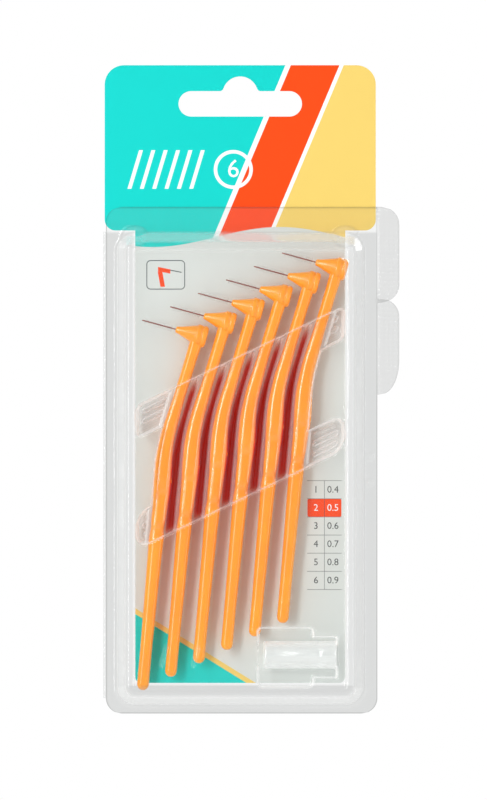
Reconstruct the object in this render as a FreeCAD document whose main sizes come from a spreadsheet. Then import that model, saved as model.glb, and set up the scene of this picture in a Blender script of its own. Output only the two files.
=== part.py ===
import FreeCAD, Part
import math
import os
import Sketcher
from FreeCAD import Placement, Rotation, Vector

# A hang-sell pack of six angled interdental brushes. The frame has its origin at the
# centre of the hang slot in the card: +X right, +Z up, and the front of the pack faces -Y.

doc = FreeCAD.newDocument("interdental_brush_pack")
sheet = doc.addObject("Spreadsheet::Sheet", "sizes")

# Driving sizes in millimetres and degrees. A drop is measured down from the hang slot's
# centre, or for a brush down from the middle of its head.
SIZES = {
    # Hang card
    "card_inset": 0.4,
    "card_thick": 0.45,
    "card_rise": 10.0,
    "header_lap": 6.1,
    "tongue_inset": 4.9,
    "tongue_foot": 5.7,
    "card_corner": 5.0,
    "header_corner": 2.8,
    "tongue_corner": 1.6,
    "slot_width": 32.0,
    "slot_height": 6.6,
    "lobe_radius": 4.6,
    "lobe_rise": 7.1,
    "slot_blend": 1.0,
    # Both halves of the clear case
    "film": 0.35,
    "parting_gap": 0.06,
    "card_clear": 0.05,
    "shell_drop": 26.7,
    "top_flange": 6.6,
    "side_flange": 3.4,
    "foot_flange": 2.2,
    "shell_corner": 4.0,
    "tab_reach": 5.7,
    "tab_length": 24.7,
    "tab_lap": 0.9,
    "tab_slant": 4.2,
    "tab_corner": 4.6,
    "tab_blend": 2.4,
    "hinge_bead": 0.36,
    "hinge_clear": 0.06,
    "overrun": 2.0,
    # Bubble of the front half, and its room beyond the brushes
    "left_room": 6.67,
    "right_room": 3.27,
    "head_room": 9.65,
    "foot_room": 4.0,
    "bubble_depth": 9.0,
    "bubble_corner": 5.0,
    "wall_draft": 17.0,
    "rim_width": 1.9,
    "window_recess": 0.8,
    "boss_radius": 3.2,
    "boss_depth": 6.4,
    "boss_inset": 5.0,
    "boss_drop": 1.4,
    # Bars and channels that hold the handles; a fall is measured down from the row of heads
    "upper_bar_fall": 9.7,
    "upper_bar_height": 8.6,
    "lower_bar_fall": 46.8,
    "lower_bar_height": 9.4,
    "bar_margin": 0.7,
    "bar_floor": 0.6,
    "channel_clear": 0.36,
    # Press studs on the flanges
    "stud_radius": 0.75,
    "stud_height": 0.55,
    "stud_clear": 0.12,
    "stud_run": 64.5,
    "stud_pitch": 6.7,
    # Brush: where the six stand
    "brush_count": 6,
    "brush_clear": 0.6,
    "pitch_across": 7.23,
    "pitch_up": 3.47,
    # Brush: handle
    "neck_lean": 17.0,
    "handle_lean": 5.2,
    "neck_offset": 1.15,
    "knee_drop": 28.0,
    "knee_radius": 118.0,
    "tail_drop": 50.0,
    "handle_drop": 91.4,
    "grip_width": 4.1,
    "grip_depth": 4.4,
    "grip_bevel": 1.1,
    "neck_draft": 0.7,
    "tail_draft": 1.05,
    "end_bevel": 0.6,
    "waist_drop": 48.6,
    "waist_radius": 4.0,
    "waist_dip": 0.45,
    "dimple_drop": 40.5,
    "dimple_radius": 9.0,
    "dimple_dip": 0.35,
    # Brush: head, nose and wire
    "wire_tilt": 15.2,
    "barrel_radius": 2.85,
    "barrel_length": 3.6,
    "barrel_round": 0.5,
    "nose_length": 5.3,
    "nose_base_radius": 2.55,
    "nose_tip_radius": 0.83,
    "spigot_radius": 1.6,
    "spigot_length": 2.4,
    "fit_clear": 0.03,
    "wire_radius": 0.22,
    "wire_length": 9.1,
    "wire_anchor": 4.4,
    "bristle_radius": 1.1,
    "bristle_tip_radius": 0.9,
    "bristle_length": 7.4,
    "bristle_start": 0.9,
    # Cap for a brush head, and its pocket in the front half
    "cap_radius": 3.55,
    "cap_wall": 0.55,
    "cap_length": 19.0,
    "cap_side": 7.2,
    "cap_foot": 13.2,
    "cap_lip": 1.4,
    "cap_round": 0.9,
    "cap_clear": 0.2,
    "pocket_width": 15.0,
    "pocket_height": 15.8,
    "pocket_lift": 0.5,
    "pocket_floor": 5.25,
    "lug_width": 5.4,
    "lug_height": 11.2,
}

# Sizes that follow from the driving ones: the case is made round the row of brushes, and the
# card and the cap take their places from the case.
LAYOUT = {
    "row_across": "(brush_count - 1) * pitch_across",
    "row_up": "(brush_count - 1) * pitch_up",
    "row_slope": "pitch_up / pitch_across",
    "wire_reach": "(barrel_length / 2 + nose_length + wire_length) * cos(wire_tilt)",
    "head_back": "barrel_length / 2 * cos(wire_tilt) + barrel_radius * sin(wire_tilt)",
    "bubble_width": "left_room + wire_reach + row_across + head_back + right_room",
    "bubble_drop": "shell_drop + top_flange",
    "brush_left": "bubble_width / 2 - left_room - wire_reach",
    "brush_drop": "bubble_drop + head_room + row_up",
    "brush_depth": "barrel_radius + brush_clear",
    "bubble_height": "head_room + row_up + handle_drop + foot_room",
    "shell_width": "bubble_width + 2 * side_flange",
    "shell_height": "top_flange + bubble_height + foot_flange",
    "card_width": "shell_width - 2 * card_inset",
    "header_drop": "shell_drop + header_lap",
    "tongue_width": "bubble_width - 2 * tongue_inset",
    "tongue_drop": "bubble_drop + bubble_height - tongue_foot",
    "upper_bar_drop": "brush_drop - brush_left * row_slope + upper_bar_fall",
    "lower_bar_drop": "brush_drop - brush_left * row_slope + lower_bar_fall",
    "knee_turn": "neck_lean - handle_lean",
    "knee_reach": "knee_radius * tan(knee_turn / 2)",
    "knee_left": "neck_offset + knee_drop * tan(neck_lean)",
    "turn_across": "knee_reach * sin(neck_lean) + knee_radius * cos(neck_lean) - knee_left",
    "turn_up": "knee_reach * cos(neck_lean) - knee_radius * sin(neck_lean) - knee_drop",
    "cap_left": "bubble_width / 2 - cap_side - cap_length",
    "cap_drop": "bubble_drop + bubble_height - cap_foot",
}


def s(text):
    """Expression with every alias written with the name of its sheet."""
    out = ""
    word = ""
    for letter in text + " ":
        if letter.isalnum() or letter == "_":
            word += letter
            continue
        if word in SIZES:
            word = f"sizes.{word}"
        elif word in LAYOUT:
            word = f"layout.{word}"
        out += word + letter
        word = ""
    return out.strip()


for row, (alias, number) in enumerate(SIZES.items(), start=1):
    sheet.set(f"A{row}", alias)
    sheet.set(f"B{row}", str(number))
    sheet.setAlias(f"B{row}", alias)
layout = doc.addObject("Spreadsheet::Sheet", "layout")
for row, (alias, formula) in enumerate(LAYOUT.items(), start=1):
    layout.set(f"A{row}", alias)
    layout.set(f"B{row}", f"={s(formula)}")
    layout.setAlias(f"B{row}", alias)
doc.recompute()

BRUSH_COUNT = int(sheet.brush_count)
PARTS = []

# Where a stud stands across the flange, the largest rounding of a tab and bevel of a handle's
# end as shares of what carries it, and where the channels and the sunk middle start and stop as
# shares of the handle's upper run.
STUD_SHARE = 0.56
TAB_ROUND_SHARE = 0.85
END_BEVEL_SHARE = 0.3
CHANNEL_SHARES = (0.3, 2.1)
MIDDLE_SHARES = (0.6, 1.6)


def size(name):
    """Value of a sheet cell in millimetres or degrees."""
    return float(sheet.get(name))


def new_body(label):
    """Empty PartDesign body with its own label."""
    body = doc.addObject("PartDesign::Body", label)
    body.Label = label
    return body


def keep(part, label):
    """Marks an object as one of the pack's sub-parts."""
    part.Label = label
    PARTS.append(part)
    return part


def new_sketch(body, name, role="XZ_Plane", offset="0", turn=None):
    """Sketch on one of the body's own origin planes, moved along its normal and turned on it."""
    sketch = body.newObject("Sketcher::SketchObject", name)
    plane = next(item for item in body.Origin.OriginFeatures if item.Role == role)
    sketch.AttachmentSupport = (plane, [""])
    sketch.MapMode = "FlatFace"
    sketch.setExpression("AttachmentOffset.Base.z", s(offset))
    if turn:
        sketch.AttachmentOffset = Placement(Vector(), Rotation(Vector(0, 0, 1), 1))
        sketch.setExpression("AttachmentOffset.Rotation.Angle", s(turn))
    return sketch


def leaning_sketch(body, name, across, up, lean):
    """Sketch about a point of the XZ plane, square to a line that leans from upright."""
    sketch = new_sketch(body, name, role="XY_Plane", offset=up)
    sketch.AttachmentOffset = Placement(Vector(), Rotation(Vector(0, 1, 0), 1))
    sketch.setExpression("AttachmentOffset.Base.x", s(across))
    sketch.setExpression("AttachmentOffset.Rotation.Angle", s(lean))
    return sketch


def dimension(sketch, constraint, expression):
    """Adds a constraint and ties its value to an expression of the sheet."""
    index = sketch.addConstraint(constraint)
    name = f"size_{index}"
    sketch.renameConstraint(index, name)
    sketch.setExpression(f"Constraints.{name}", s(expression))


def place_point(sketch, geometry, point, across, up):
    """Fixes a sketch point at two expressions measured from the sketch's origin."""
    here = sketch.getPoint(geometry, point)
    dimension(sketch, Sketcher.Constraint("DistanceX", -1, 1, geometry, point, here.x), across)
    dimension(sketch, Sketcher.Constraint("DistanceY", -1, 1, geometry, point, here.y), up)


def value(expression):
    """Number that an expression of the sheet gives now."""
    return float(sheet.evalExpression(s(expression)))


def polygon(sketch, corners, arcs=None):
    """Closed outline; each corner is a pair of expressions.

    arcs gives the sides that are round, by number, as a centre and a radius.
    """
    points = [Vector(value(across), value(up), 0) for across, up in corners]
    following = points[1:] + points[:1]
    first = len(sketch.Geometry)
    ends = []
    for index, (start, end) in enumerate(zip(points, following)):
        side = Part.LineSegment(start, end)
        if arcs and index in arcs:
            centre, radius = arcs[index]
            middle = Vector(value(centre[0]), value(centre[1]), 0)
            outward = (start + end) / 2 - middle
            side = Part.Arc(start, middle + outward.normalize() * value(radius), end)
        sketch.addGeometry(side, False)
        near = sketch.getPoint(first + index, 1).distanceToPoint(start)
        far = sketch.getPoint(first + index, 2).distanceToPoint(start)
        ends.append((1, 2) if near < far else (2, 1))
    for index in range(len(points)):
        after = (index + 1) % len(points)
        sketch.addConstraint(
            Sketcher.Constraint("Coincident", first + index, ends[index][1], first + after, ends[after][0]))
    for index, (across, up) in enumerate(corners):
        place_point(sketch, first + index, ends[index][0], across, up)
    for index, (centre, radius) in (arcs or {}).items():
        dimension(sketch, Sketcher.Constraint("Radius", first + index, value(radius)), radius)


def rectangle(sketch, left, right, bottom, top):
    """Rectangle between four expressions."""
    polygon(sketch, [(left, bottom), (right, bottom), (right, top), (left, top)])


def circle(sketch, across, up, radius):
    """Circle about a point, all three given as expressions."""
    centre = Vector(value(across), value(up), 0)
    index = sketch.addGeometry(Part.Circle(centre, Vector(0, 0, 1), value(radius)), False)
    dimension(sketch, Sketcher.Constraint("Radius", index, value(radius)), radius)
    place_point(sketch, index, 3, across, up)


def pad(body, sketch, length, draft=None, reverse=False):
    """Pads a sketch along its normal; a draft narrows it towards the end."""
    feature = body.newObject("PartDesign::Pad", f"{sketch.Name}_pad")
    feature.Profile = sketch
    feature.setExpression("Length", s(length))
    feature.Reversed = reverse
    if draft:
        feature.setExpression("TaperAngle", s(f"-({draft})"))
    return finish_feature(body, feature)


def pocket(body, sketch, depth, middle=False, reverse=False):
    """Cuts a sketch into the body against its normal, along it, or to both sides of it."""
    before = body.Shape.Volume
    feature = body.newObject("PartDesign::Pocket", f"{sketch.Name}_pocket")
    feature.Profile = sketch
    feature.setExpression("Length", s(depth))
    feature.Reversed = reverse
    if middle:
        feature.SideType = "Symmetric"
    finish_feature(body, feature)
    if not feature.Shape.Volume < before:
        raise ValueError(f"{feature.Name} cuts nothing")
    return feature


def turn_about(body, sketch, kind="PartDesign::Revolution"):
    """Turns a sketch once round its own X axis, adding or cutting."""
    feature = body.newObject(kind, f"{sketch.Name}_turned")
    feature.Profile = sketch
    feature.ReferenceAxis = (sketch, ["H_Axis"])
    feature.Angle = 360
    return finish_feature(body, feature)


def bend_about(body, sketch, angle):
    """Carries a sketch downwards round its own Y axis through an angle."""
    feature = body.newObject("PartDesign::Revolution", f"{sketch.Name}_bent")
    feature.Profile = sketch
    feature.ReferenceAxis = (sketch, ["V_Axis"])
    feature.setExpression("Angle", s(angle))
    feature.Reversed = True
    return finish_feature(body, feature)


def finish_feature(body, feature):
    """Makes a feature the tip of its body and builds it."""
    body.Tip = feature
    doc.recompute()
    return feature


def corner_edges(shape, across, up):
    """Names of the edges at a corner that run front to back, leaning no more than the walls do."""
    names = []
    for index, edge in enumerate(shape.Edges, start=1):
        if len(edge.Vertexes) < 2:
            continue
        ends = [vertex.Point for vertex in edge.Vertexes]
        run = ends[1] - ends[0]
        if abs(run.y) < math.hypot(run.x, run.z):
            continue
        near = min(math.hypot(end.x - value(across), end.z - value(up)) for end in ends)
        if near < size("fit_clear"):
            names.append(f"Edge{index}")
    return names


def round_corners(body, corners, radius):
    """Rounds the edges at the listed corners of the body's outline."""
    base = body.Tip
    names = [name for corner in corners for name in corner_edges(base.Shape, *corner)]
    feature = body.newObject("PartDesign::Fillet", f"{base.Name}_round")
    feature.Base = (base, names)
    feature.setExpression("Radius", s(radius))
    return finish_feature(body, feature)


def place(part, across, depth, up, tilt=None):
    """Ties a sub-part's place, and its tilt about Y, to the sheet."""
    if tilt:
        part.Placement = Placement(Vector(), Rotation(Vector(0, 1, 0), 1))
        part.setExpression("Placement.Rotation.Angle", s(tilt))
    part.setExpression("Placement.Base.x", s(across))
    part.setExpression("Placement.Base.y", s(depth))
    part.setExpression("Placement.Base.z", s(up))


# Hang card

def build_card():
    """Printed card: a wide header with the hang slot and a narrower tongue in the case."""
    half, tongue = "card_width / 2", "tongue_width / 2"
    body = new_body("hang_card")
    outline = new_sketch(body, "card_outline", offset="-(card_clear + card_thick)")
    polygon(outline, [
        (f"-{half}", "card_rise"), (half, "card_rise"), (half, "-header_drop"),
        (tongue, "-header_drop"), (tongue, "-tongue_drop"), (f"-{tongue}", "-tongue_drop"),
        (f"-{tongue}", "-header_drop"), (f"-{half}", "-header_drop"),
    ])
    pad(body, outline, "card_thick")
    for sides, up, radius in ((half, "card_rise", "card_corner"), (half, "-header_drop", "header_corner"),
                              (tongue, "-tongue_drop", "tongue_corner")):
        round_corners(body, [(f"-{sides}", up), (sides, up)], radius)
    slot = new_sketch(body, "slot_outline", offset="-card_clear")
    reach = "(slot_width - slot_height) / 2"
    rectangle(slot, f"-{reach}", reach, "-slot_height / 2", "slot_height / 2")
    pocket(body, slot, "card_thick + overrun")
    for name, across, up, radius in (("slot_left", f"-{reach}", "0", "slot_height / 2"),
                                     ("slot_right", reach, "0", "slot_height / 2"),
                                     ("slot_lobe", "0", "lobe_rise - lobe_radius", "lobe_radius")):
        hole = new_sketch(body, name, offset="-card_clear")
        circle(hole, across, up, radius)
        pocket(body, hole, "card_thick + overrun")
    side = "sqrt(lobe_radius ^ 2 - (slot_height / 2 - lobe_rise + lobe_radius) ^ 2)"
    round_corners(body, [(f"-{side}", "slot_height / 2"), (side, "slot_height / 2")], "slot_blend")
    keep(body, "hang_card")


# Clear case

SHELL_SIDE = "shell_width / 2"
SHELL_LEFT = "-(shell_width / 2 - 2 * hinge_bead)"
SHELL_BOTTOM = "-(shell_drop + shell_height)"
TAB_SIDE = "(shell_width / 2 + tab_reach)"
TAB_ROUND = f"min(tab_corner; tab_reach * {TAB_ROUND_SHARE})"


def flange(body, name, offset, tab_top, slant="0"):
    """Flat sheet of one half of the case with its pull tab on the right edge.

    slant is how much further down the tab reaches where it joins the sheet.
    """
    tab_bottom = f"({tab_top} - tab_length)"
    tab_corner = f"({tab_bottom} + {slant})"
    sketch = new_sketch(body, name, offset=offset)
    outline = [(SHELL_SIDE, SHELL_BOTTOM), (SHELL_LEFT, SHELL_BOTTOM), (SHELL_LEFT, "-shell_drop")]
    if value(tab_top) < -size("shell_drop"):
        outline += [(SHELL_SIDE, "-shell_drop"), (SHELL_SIDE, tab_top)]
    outline += [(TAB_SIDE, tab_top), (TAB_SIDE, tab_corner), (SHELL_SIDE, tab_bottom)]
    polygon(sketch, outline)
    pad(body, sketch, "film")
    round_corners(body, [(SHELL_SIDE, SHELL_BOTTOM), (SHELL_LEFT, SHELL_BOTTOM)], "shell_corner")
    round_corners(body, [(TAB_SIDE, tab_top), (TAB_SIDE, tab_corner)], TAB_ROUND)
    if value(slant) > 0:
        round_corners(body, [(SHELL_SIDE, tab_bottom)], "tab_blend")


def stud_places():
    """Places of the press studs on the right flange, as pairs of expressions."""
    across = f"(shell_width / 2 - side_flange * {STUD_SHARE})"
    return [(across, f"-(shell_drop + stud_run + {index} * stud_pitch)") for index in range(2)]


def build_back_shell():
    """Rear half: a flange, a shallow tray that takes the card, a pull tab and two studs."""
    body = new_body("back_shell")
    half_gap = "parting_gap / 2"
    room = "(card_thick + 2 * card_clear)"
    flange(body, "back_flange", f"-({half_gap} + film)", "-(shell_drop + tab_length - tab_lap)",
           slant="tab_slant")
    tray = new_sketch(body, "back_tray", offset=f"-({room} + film)")
    edge = "(tongue_width / 2 + card_clear + film)"
    step = "-(header_drop + card_clear + film)"
    low = "-(tongue_drop + card_clear + film)"
    polygon(tray, [
        (SHELL_LEFT, "-shell_drop"), (SHELL_SIDE, "-shell_drop"), (SHELL_SIDE, step), (edge, step),
        (edge, low), (f"-{edge}", low), (f"-{edge}", step), (SHELL_LEFT, step),
    ])
    pad(body, tray, f"{room} + film - {half_gap}")
    round_corners(body, [(SHELL_LEFT, "-shell_drop")], "shell_corner")
    seat = new_sketch(body, "card_seat", offset=f"-{half_gap}")
    edge = "(tongue_width / 2 + card_clear)"
    step = "-(header_drop + card_clear)"
    low = "-(tongue_drop + card_clear)"
    wide, high = f"({TAB_SIDE} + overrun)", "-(shell_drop - overrun)"
    polygon(seat, [
        (f"-{wide}", high), (wide, high), (wide, step), (edge, step),
        (edge, low), (f"-{edge}", low), (f"-{edge}", step), (f"-{wide}", step),
    ])
    pocket(body, seat, f"{room} - {half_gap}")
    studs = new_sketch(body, "back_studs", offset=f"-{half_gap}")
    for across, up in stud_places():
        circle(studs, across, up, "stud_radius")
    pad(body, studs, "stud_height")
    keep(body, "back_shell")


def bar_corners(left, right, top, bottom):
    """Slanted bar parallel to the row of brushes between two sides and two drops at X = 0."""
    return [(side, f"-({drop}) + ({side}) * row_slope")
            for side, drop in ((left, bottom), (right, bottom), (right, top), (left, top))]


def spine(drop):
    """X of a handle's centre line, from its head, at a drop clear of the knee."""
    if value(drop) < size("knee_drop"):
        return f"(-neck_offset - ({drop}) * tan(neck_lean))"
    return f"(-knee_left - (({drop}) - knee_drop) * tan(handle_lean))"


def strip(sketch, number, margin):
    """Bent strip along one handle, wider than it by a margin on each side.

    Its sides are lines along the neck and the grip, joined by arcs about the knee's centre.
    """
    half = f"(grip_width / 2 + {margin})"
    head = (f"(-brush_left + {number - 1} * pitch_across)", f"(-brush_drop + {number - 1} * pitch_up)")
    centre = (f"({head[0]} + turn_across)", f"({head[1]} + turn_up)")
    sides = []
    for sign in ("-", "+"):
        radius = f"(knee_radius {sign} {half})"
        shift = "+" if sign == "-" else "-"
        top, low = (f"knee_drop * {share}" for share in CHANNEL_SHARES)
        sides.append([
            (f"{head[0]} + {spine(top)} {shift} {half} / cos(neck_lean)", f"{head[1]} - {top}"),
            (f"{centre[0]} - {radius} * cos(neck_lean)", f"{centre[1]} + {radius} * sin(neck_lean)"),
            (f"{centre[0]} - {radius} * cos(handle_lean)", f"{centre[1]} + {radius} * sin(handle_lean)"),
            (f"{head[0]} + {spine(low)} {shift} {half} / cos(handle_lean)", f"{head[1]} - {low}"),
        ])
    right, left = sides
    polygon(sketch, right + left[::-1], {
        1: (centre, f"knee_radius - {half}"),
        5: (centre, f"knee_radius + {half}"),
    })


def front_form(label, skin, back):
    """Solid bounded by the front half's outer side, or its inner side one film further in.

    skin is the distance from the outer side and back is where the solid starts in depth.
    """
    body = new_body(label)
    run = f"({skin} / cos(wall_draft) + ({back}) * tan(wall_draft))"
    side = f"(bubble_width / 2 - {run})"
    top = f"-(bubble_drop + {run})"
    low = f"-(bubble_drop + bubble_height - {run})"
    base = new_sketch(body, f"{label}_base", offset=back)
    rectangle(base, f"-{side}", side, low, top)
    pad(body, base, f"bubble_depth - {skin} - ({back})", draft="wall_draft")
    round_corners(body, [(f"-{side}", low), (side, low), (side, top), (f"-{side}", top)],
                  f"bubble_corner - {skin}")

    crown = f"bubble_depth - {skin}"
    rim = "(bubble_depth * tan(wall_draft) + rim_width)"
    edge = f"(bubble_width / 2 - {rim} + {skin})"
    window = new_sketch(body, f"{label}_window", offset=crown)
    rectangle(window, f"-{edge}", edge, f"-(bubble_drop + bubble_height - {rim} + {skin})",
              f"-(bubble_drop + {rim} - {skin})")
    pocket(body, window, "window_recess")

    floor = "bubble_depth - film - bar_floor"
    reach = f"(bubble_width / 2 - {rim} - bar_margin + {skin})"
    bars = (("upper", "upper_bar_drop", "upper_bar_drop + upper_bar_height"),
            ("lower", "lower_bar_drop - lower_bar_height", "lower_bar_drop"))
    for name, high, deep in bars:
        bar = new_sketch(body, f"{label}_{name}_bar", offset=crown)
        polygon(bar, bar_corners(f"-{reach}", reach, f"{high} - {skin}", f"{deep} + {skin}"))
        pocket(body, bar, floor)
    middle = new_sketch(body, f"{label}_middle", offset=crown)
    span = f"(pitch_across / 2 + {skin})"
    rows = ["upper_bar_drop + pitch_across / 2", "lower_bar_drop - pitch_across / 2"]
    first_top, first_low = (f"(-brush_left + {spine(f'knee_drop * {share}')})" for share in MIDDLE_SHARES)
    last_top, last_low = (f"({place} + row_across)" for place in (first_top, first_low))
    polygon(middle, [
        (f"{first_top} - {span}", f"-({rows[0]}) + ({first_top} - {span}) * row_slope"),
        (f"{first_low} - {span}", f"-({rows[1]}) + ({first_low} - {span}) * row_slope"),
        (f"{last_low} + {span}", f"-({rows[1]}) + ({last_low} + {span}) * row_slope"),
        (f"{last_top} + {span}", f"-({rows[0]}) + ({last_top} + {span}) * row_slope"),
    ])
    pocket(body, middle, floor)

    cap_pocket(body, label, skin, crown)
    for name, sign in (("left", "-"), ("right", "")):
        boss = new_sketch(body, f"{label}_{name}_boss", offset=back)
        circle(boss, f"{sign}(bubble_width / 2 - boss_inset)", "-(bubble_drop + boss_drop)",
               f"boss_radius - {run}")
        pad(body, boss, f"boss_depth - {skin} - ({back})", draft="wall_draft")

    grow = f"(film - {skin})"
    crest = f"brush_depth + grip_depth / 2 + channel_clear + {grow} - ({back})"
    for number in range(1, BRUSH_COUNT + 1):
        channel = new_sketch(body, f"{label}_channel_{number}", offset=back)
        strip(channel, number, f"(channel_clear + {grow})")
        pad(body, channel, crest)
    return body


def cap_pocket(body, label, skin, crown):
    """Finger pocket round the cap, with a hump left standing over the cap itself."""
    left = "(cap_left - cap_clear - film)"
    right = f"({left} + pocket_width)"
    middle = "(-cap_drop - pocket_lift)"
    far = f"({right} + lug_width)"
    sketch = new_sketch(body, f"{label}_finger_pocket", offset=crown)
    polygon(sketch, [
        (f"{left} - {skin}", f"{middle} - pocket_height / 2 - {skin}"),
        (f"{right} + {skin}", f"{middle} - pocket_height / 2 - {skin}"),
        (f"{right} + {skin}", f"{middle} - lug_height / 2 - {skin}"),
        (f"{far} + {skin}", f"{middle} - lug_height / 2 - {skin}"),
        (f"{far} + {skin}", f"{middle} + lug_height / 2 + {skin}"),
        (f"{right} + {skin}", f"{middle} + lug_height / 2 + {skin}"),
        (f"{right} + {skin}", f"{middle} + pocket_height / 2 + {skin}"),
        (f"{left} - {skin}", f"{middle} + pocket_height / 2 + {skin}"),
    ])
    pocket(body, sketch, "bubble_depth - film - pocket_floor")
    hump = new_sketch(body, f"{label}_cap_hump", role="YZ_Plane", offset=f"{left} - {skin}")
    circle(hump, "-(cap_radius + cap_clear)", "-cap_drop", f"cap_radius + cap_clear + film - {skin}")
    pad(body, hump, f"pocket_width + lug_width + 2 * {skin}")


def stud_domes(body):
    """Hollow domes on the front flange that the rear half's studs snap into."""
    domes = new_sketch(body, "stud_domes", offset="parting_gap / 2")
    sockets = new_sketch(body, "stud_sockets", offset="parting_gap / 2")
    for across, up in stud_places():
        circle(domes, across, up, "stud_radius + stud_clear + film")
        circle(sockets, across, up, "stud_radius + stud_clear")
    pad(body, domes, "stud_height + stud_clear + film")
    pocket(body, sockets, "stud_height + stud_clear", reverse=True)


def build_front_shell():
    """Front half: flange and bubble in one film, with channels over the handles."""
    outer = front_form("front_outside", "0", "parting_gap / 2")
    flange(outer, "front_flange", "parting_gap / 2", "-shell_drop")
    round_corners(outer, [(SHELL_LEFT, "-shell_drop")], "shell_corner")
    stud_domes(outer)
    inner = front_form("front_inside", "film", "-overrun")
    shell = doc.addObject("Part::Cut", "front_shell")
    shell.Base = outer
    shell.Tool = inner
    keep(shell, "front_shell")


def build_hinge():
    """Round bead of film along the left edge, where the two halves fold."""
    bead = doc.addObject("Part::Cylinder", "living_hinge")
    bead.setExpression("Radius", s("hinge_bead - hinge_clear"))
    bead.setExpression("Height", s("shell_drop + shell_height - shell_corner - header_drop - hinge_bead"))
    place(bead, f"-({SHELL_SIDE} - hinge_bead)", "0", f"{SHELL_BOTTOM} + shell_corner")
    keep(bead, "living_hinge")


# Brush

def grip_section(sketch, centre):
    """Bevelled section of the handle, its middle a distance along X from the sketch's origin."""
    side, inner = "grip_width / 2", "(grip_width / 2 - grip_bevel)"
    deep, short = "grip_depth / 2", "(grip_depth / 2 - grip_bevel)"
    corners = [
        (side, f"-{short}"), (side, short), (inner, deep), (f"-{inner}", deep),
        (f"-{side}", short), (f"-{side}", f"-{short}"), (f"-{inner}", f"-{deep}"), (inner, f"-{deep}"),
    ]
    polygon(sketch, [(f"({centre}) + ({across})", up) for across, up in corners])


def head_profile(sketch, grow):
    """Half outline of the nose about the wire's line: a cone and the spigot behind it."""
    seat = "-barrel_length / 2"
    tip = f"({seat} - nose_length - {grow})"
    polygon(sketch, [
        (tip, "0"), (tip, f"nose_tip_radius + {grow}"),
        (seat, f"nose_base_radius + {grow}"), (seat, f"spigot_radius + {grow}"),
        (f"{seat} + spigot_length + {grow}", f"spigot_radius + {grow}"),
        (f"{seat} + spigot_length + {grow}", "0"),
    ])


def bevel_end(body):
    """Bevels the free end of the handle."""
    base = body.Tip
    low = min(base.Shape.Faces, key=lambda face: face.CenterOfMass.z)
    names = [f"Edge{index}" for index, edge in enumerate(base.Shape.Edges, start=1)
             if any(edge.isSame(other) for other in low.Edges)]
    feature = body.newObject("PartDesign::Chamfer", "handle_end_bevel")
    feature.Base = (base, names)
    end = "(min(grip_width; grip_depth) - 2 * (handle_drop - tail_drop) * tan(tail_draft))"
    feature.setExpression("Size", s(f"min(end_bevel; {end} * {END_BEVEL_SHARE})"))
    finish_feature(body, feature)


def build_handle():
    """Handle moulded in one with the barrel that holds the nose.

    A straight neck, a bend at the knee, a straight grip and a tapered tail.
    """
    body = new_body("handle_1")
    neck = leaning_sketch(body, "neck_section", "knee_reach * sin(neck_lean) - knee_left",
                          "knee_reach * cos(neck_lean) - knee_drop", "neck_lean")
    grip_section(neck, "0")
    pad(body, neck, "knee_drop / cos(neck_lean) - knee_reach", draft="neck_draft")
    knee = leaning_sketch(body, "knee_section", "turn_across", "turn_up", "neck_lean")
    grip_section(knee, "-knee_radius")
    bend_about(body, knee, "knee_turn")
    grip = leaning_sketch(body, "grip_section", "-(knee_left + knee_reach * sin(handle_lean))",
                          "-(knee_drop + knee_reach * cos(handle_lean))", "handle_lean")
    grip_section(grip, "0")
    pad(body, grip, "(tail_drop - knee_drop) / cos(handle_lean) - knee_reach", reverse=True)
    tail = leaning_sketch(body, "tail_section", spine("tail_drop"), "-tail_drop", "handle_lean")
    grip_section(tail, "0")
    pad(body, tail, "(handle_drop - tail_drop) / cos(handle_lean)", draft="tail_draft", reverse=True)
    bevel_end(body)
    barrel = new_sketch(body, "barrel_profile", turn="-wire_tilt")
    half = "barrel_length / 2"
    polygon(barrel, [
        (f"-{half}", "0"), (f"-{half}", "barrel_radius"), (f"{half} - barrel_round", "barrel_radius"),
        (half, "barrel_radius - barrel_round"), (half, "0"),
    ])
    turn_about(body, barrel)
    socket = new_sketch(body, "nose_socket", turn="-wire_tilt")
    head_profile(socket, "fit_clear")
    turn_about(body, socket, kind="PartDesign::Groove")
    for name, sign in (("front_dimple", "-"), ("back_dimple", "")):
        dimple = new_sketch(body, name, role="YZ_Plane", offset=spine("dimple_drop"))
        circle(dimple, f"{sign}(grip_depth / 2 + dimple_radius - dimple_dip)",
               "-dimple_drop", "dimple_radius")
        pocket(body, dimple, "2 * grip_width", middle=True)
    for name, sign in (("left_notch", "-"), ("right_notch", "+")):
        notch = new_sketch(body, name)
        circle(notch, f"{spine('waist_drop')} {sign} (grip_width / 2 + waist_radius - waist_dip)",
               "-waist_drop", "waist_radius")
        pocket(body, notch, "2 * grip_depth", middle=True)
    return body


def build_nose():
    """Tapered nose that carries the wire, seated in the barrel by its spigot."""
    body = new_body("nose_1")
    profile = new_sketch(body, "nose_profile")
    head_profile(profile, "0")
    turn_about(body, profile)
    bore = new_sketch(body, "wire_bore")
    tip = "(-barrel_length / 2 - nose_length)"
    rectangle(bore, f"{tip} - overrun", f"{tip} + wire_anchor + fit_clear", "0", "wire_radius + fit_clear")
    turn_about(body, bore, kind="PartDesign::Groove")
    return body


def build_wire():
    """Core wire of the brush, held in the nose's blind bore."""
    body = new_body("wire_1")
    profile = new_sketch(body, "wire_profile")
    tip = "(-barrel_length / 2 - nose_length)"
    polygon(profile, [
        (f"{tip} - wire_length", "0"), (f"{tip} - wire_length", "wire_radius / 2"),
        (f"{tip} - wire_length + wire_radius / 2", "wire_radius"), (f"{tip} + wire_anchor", "wire_radius"),
        (f"{tip} + wire_anchor", "0"),
    ])
    turn_about(body, profile)
    return body


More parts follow.
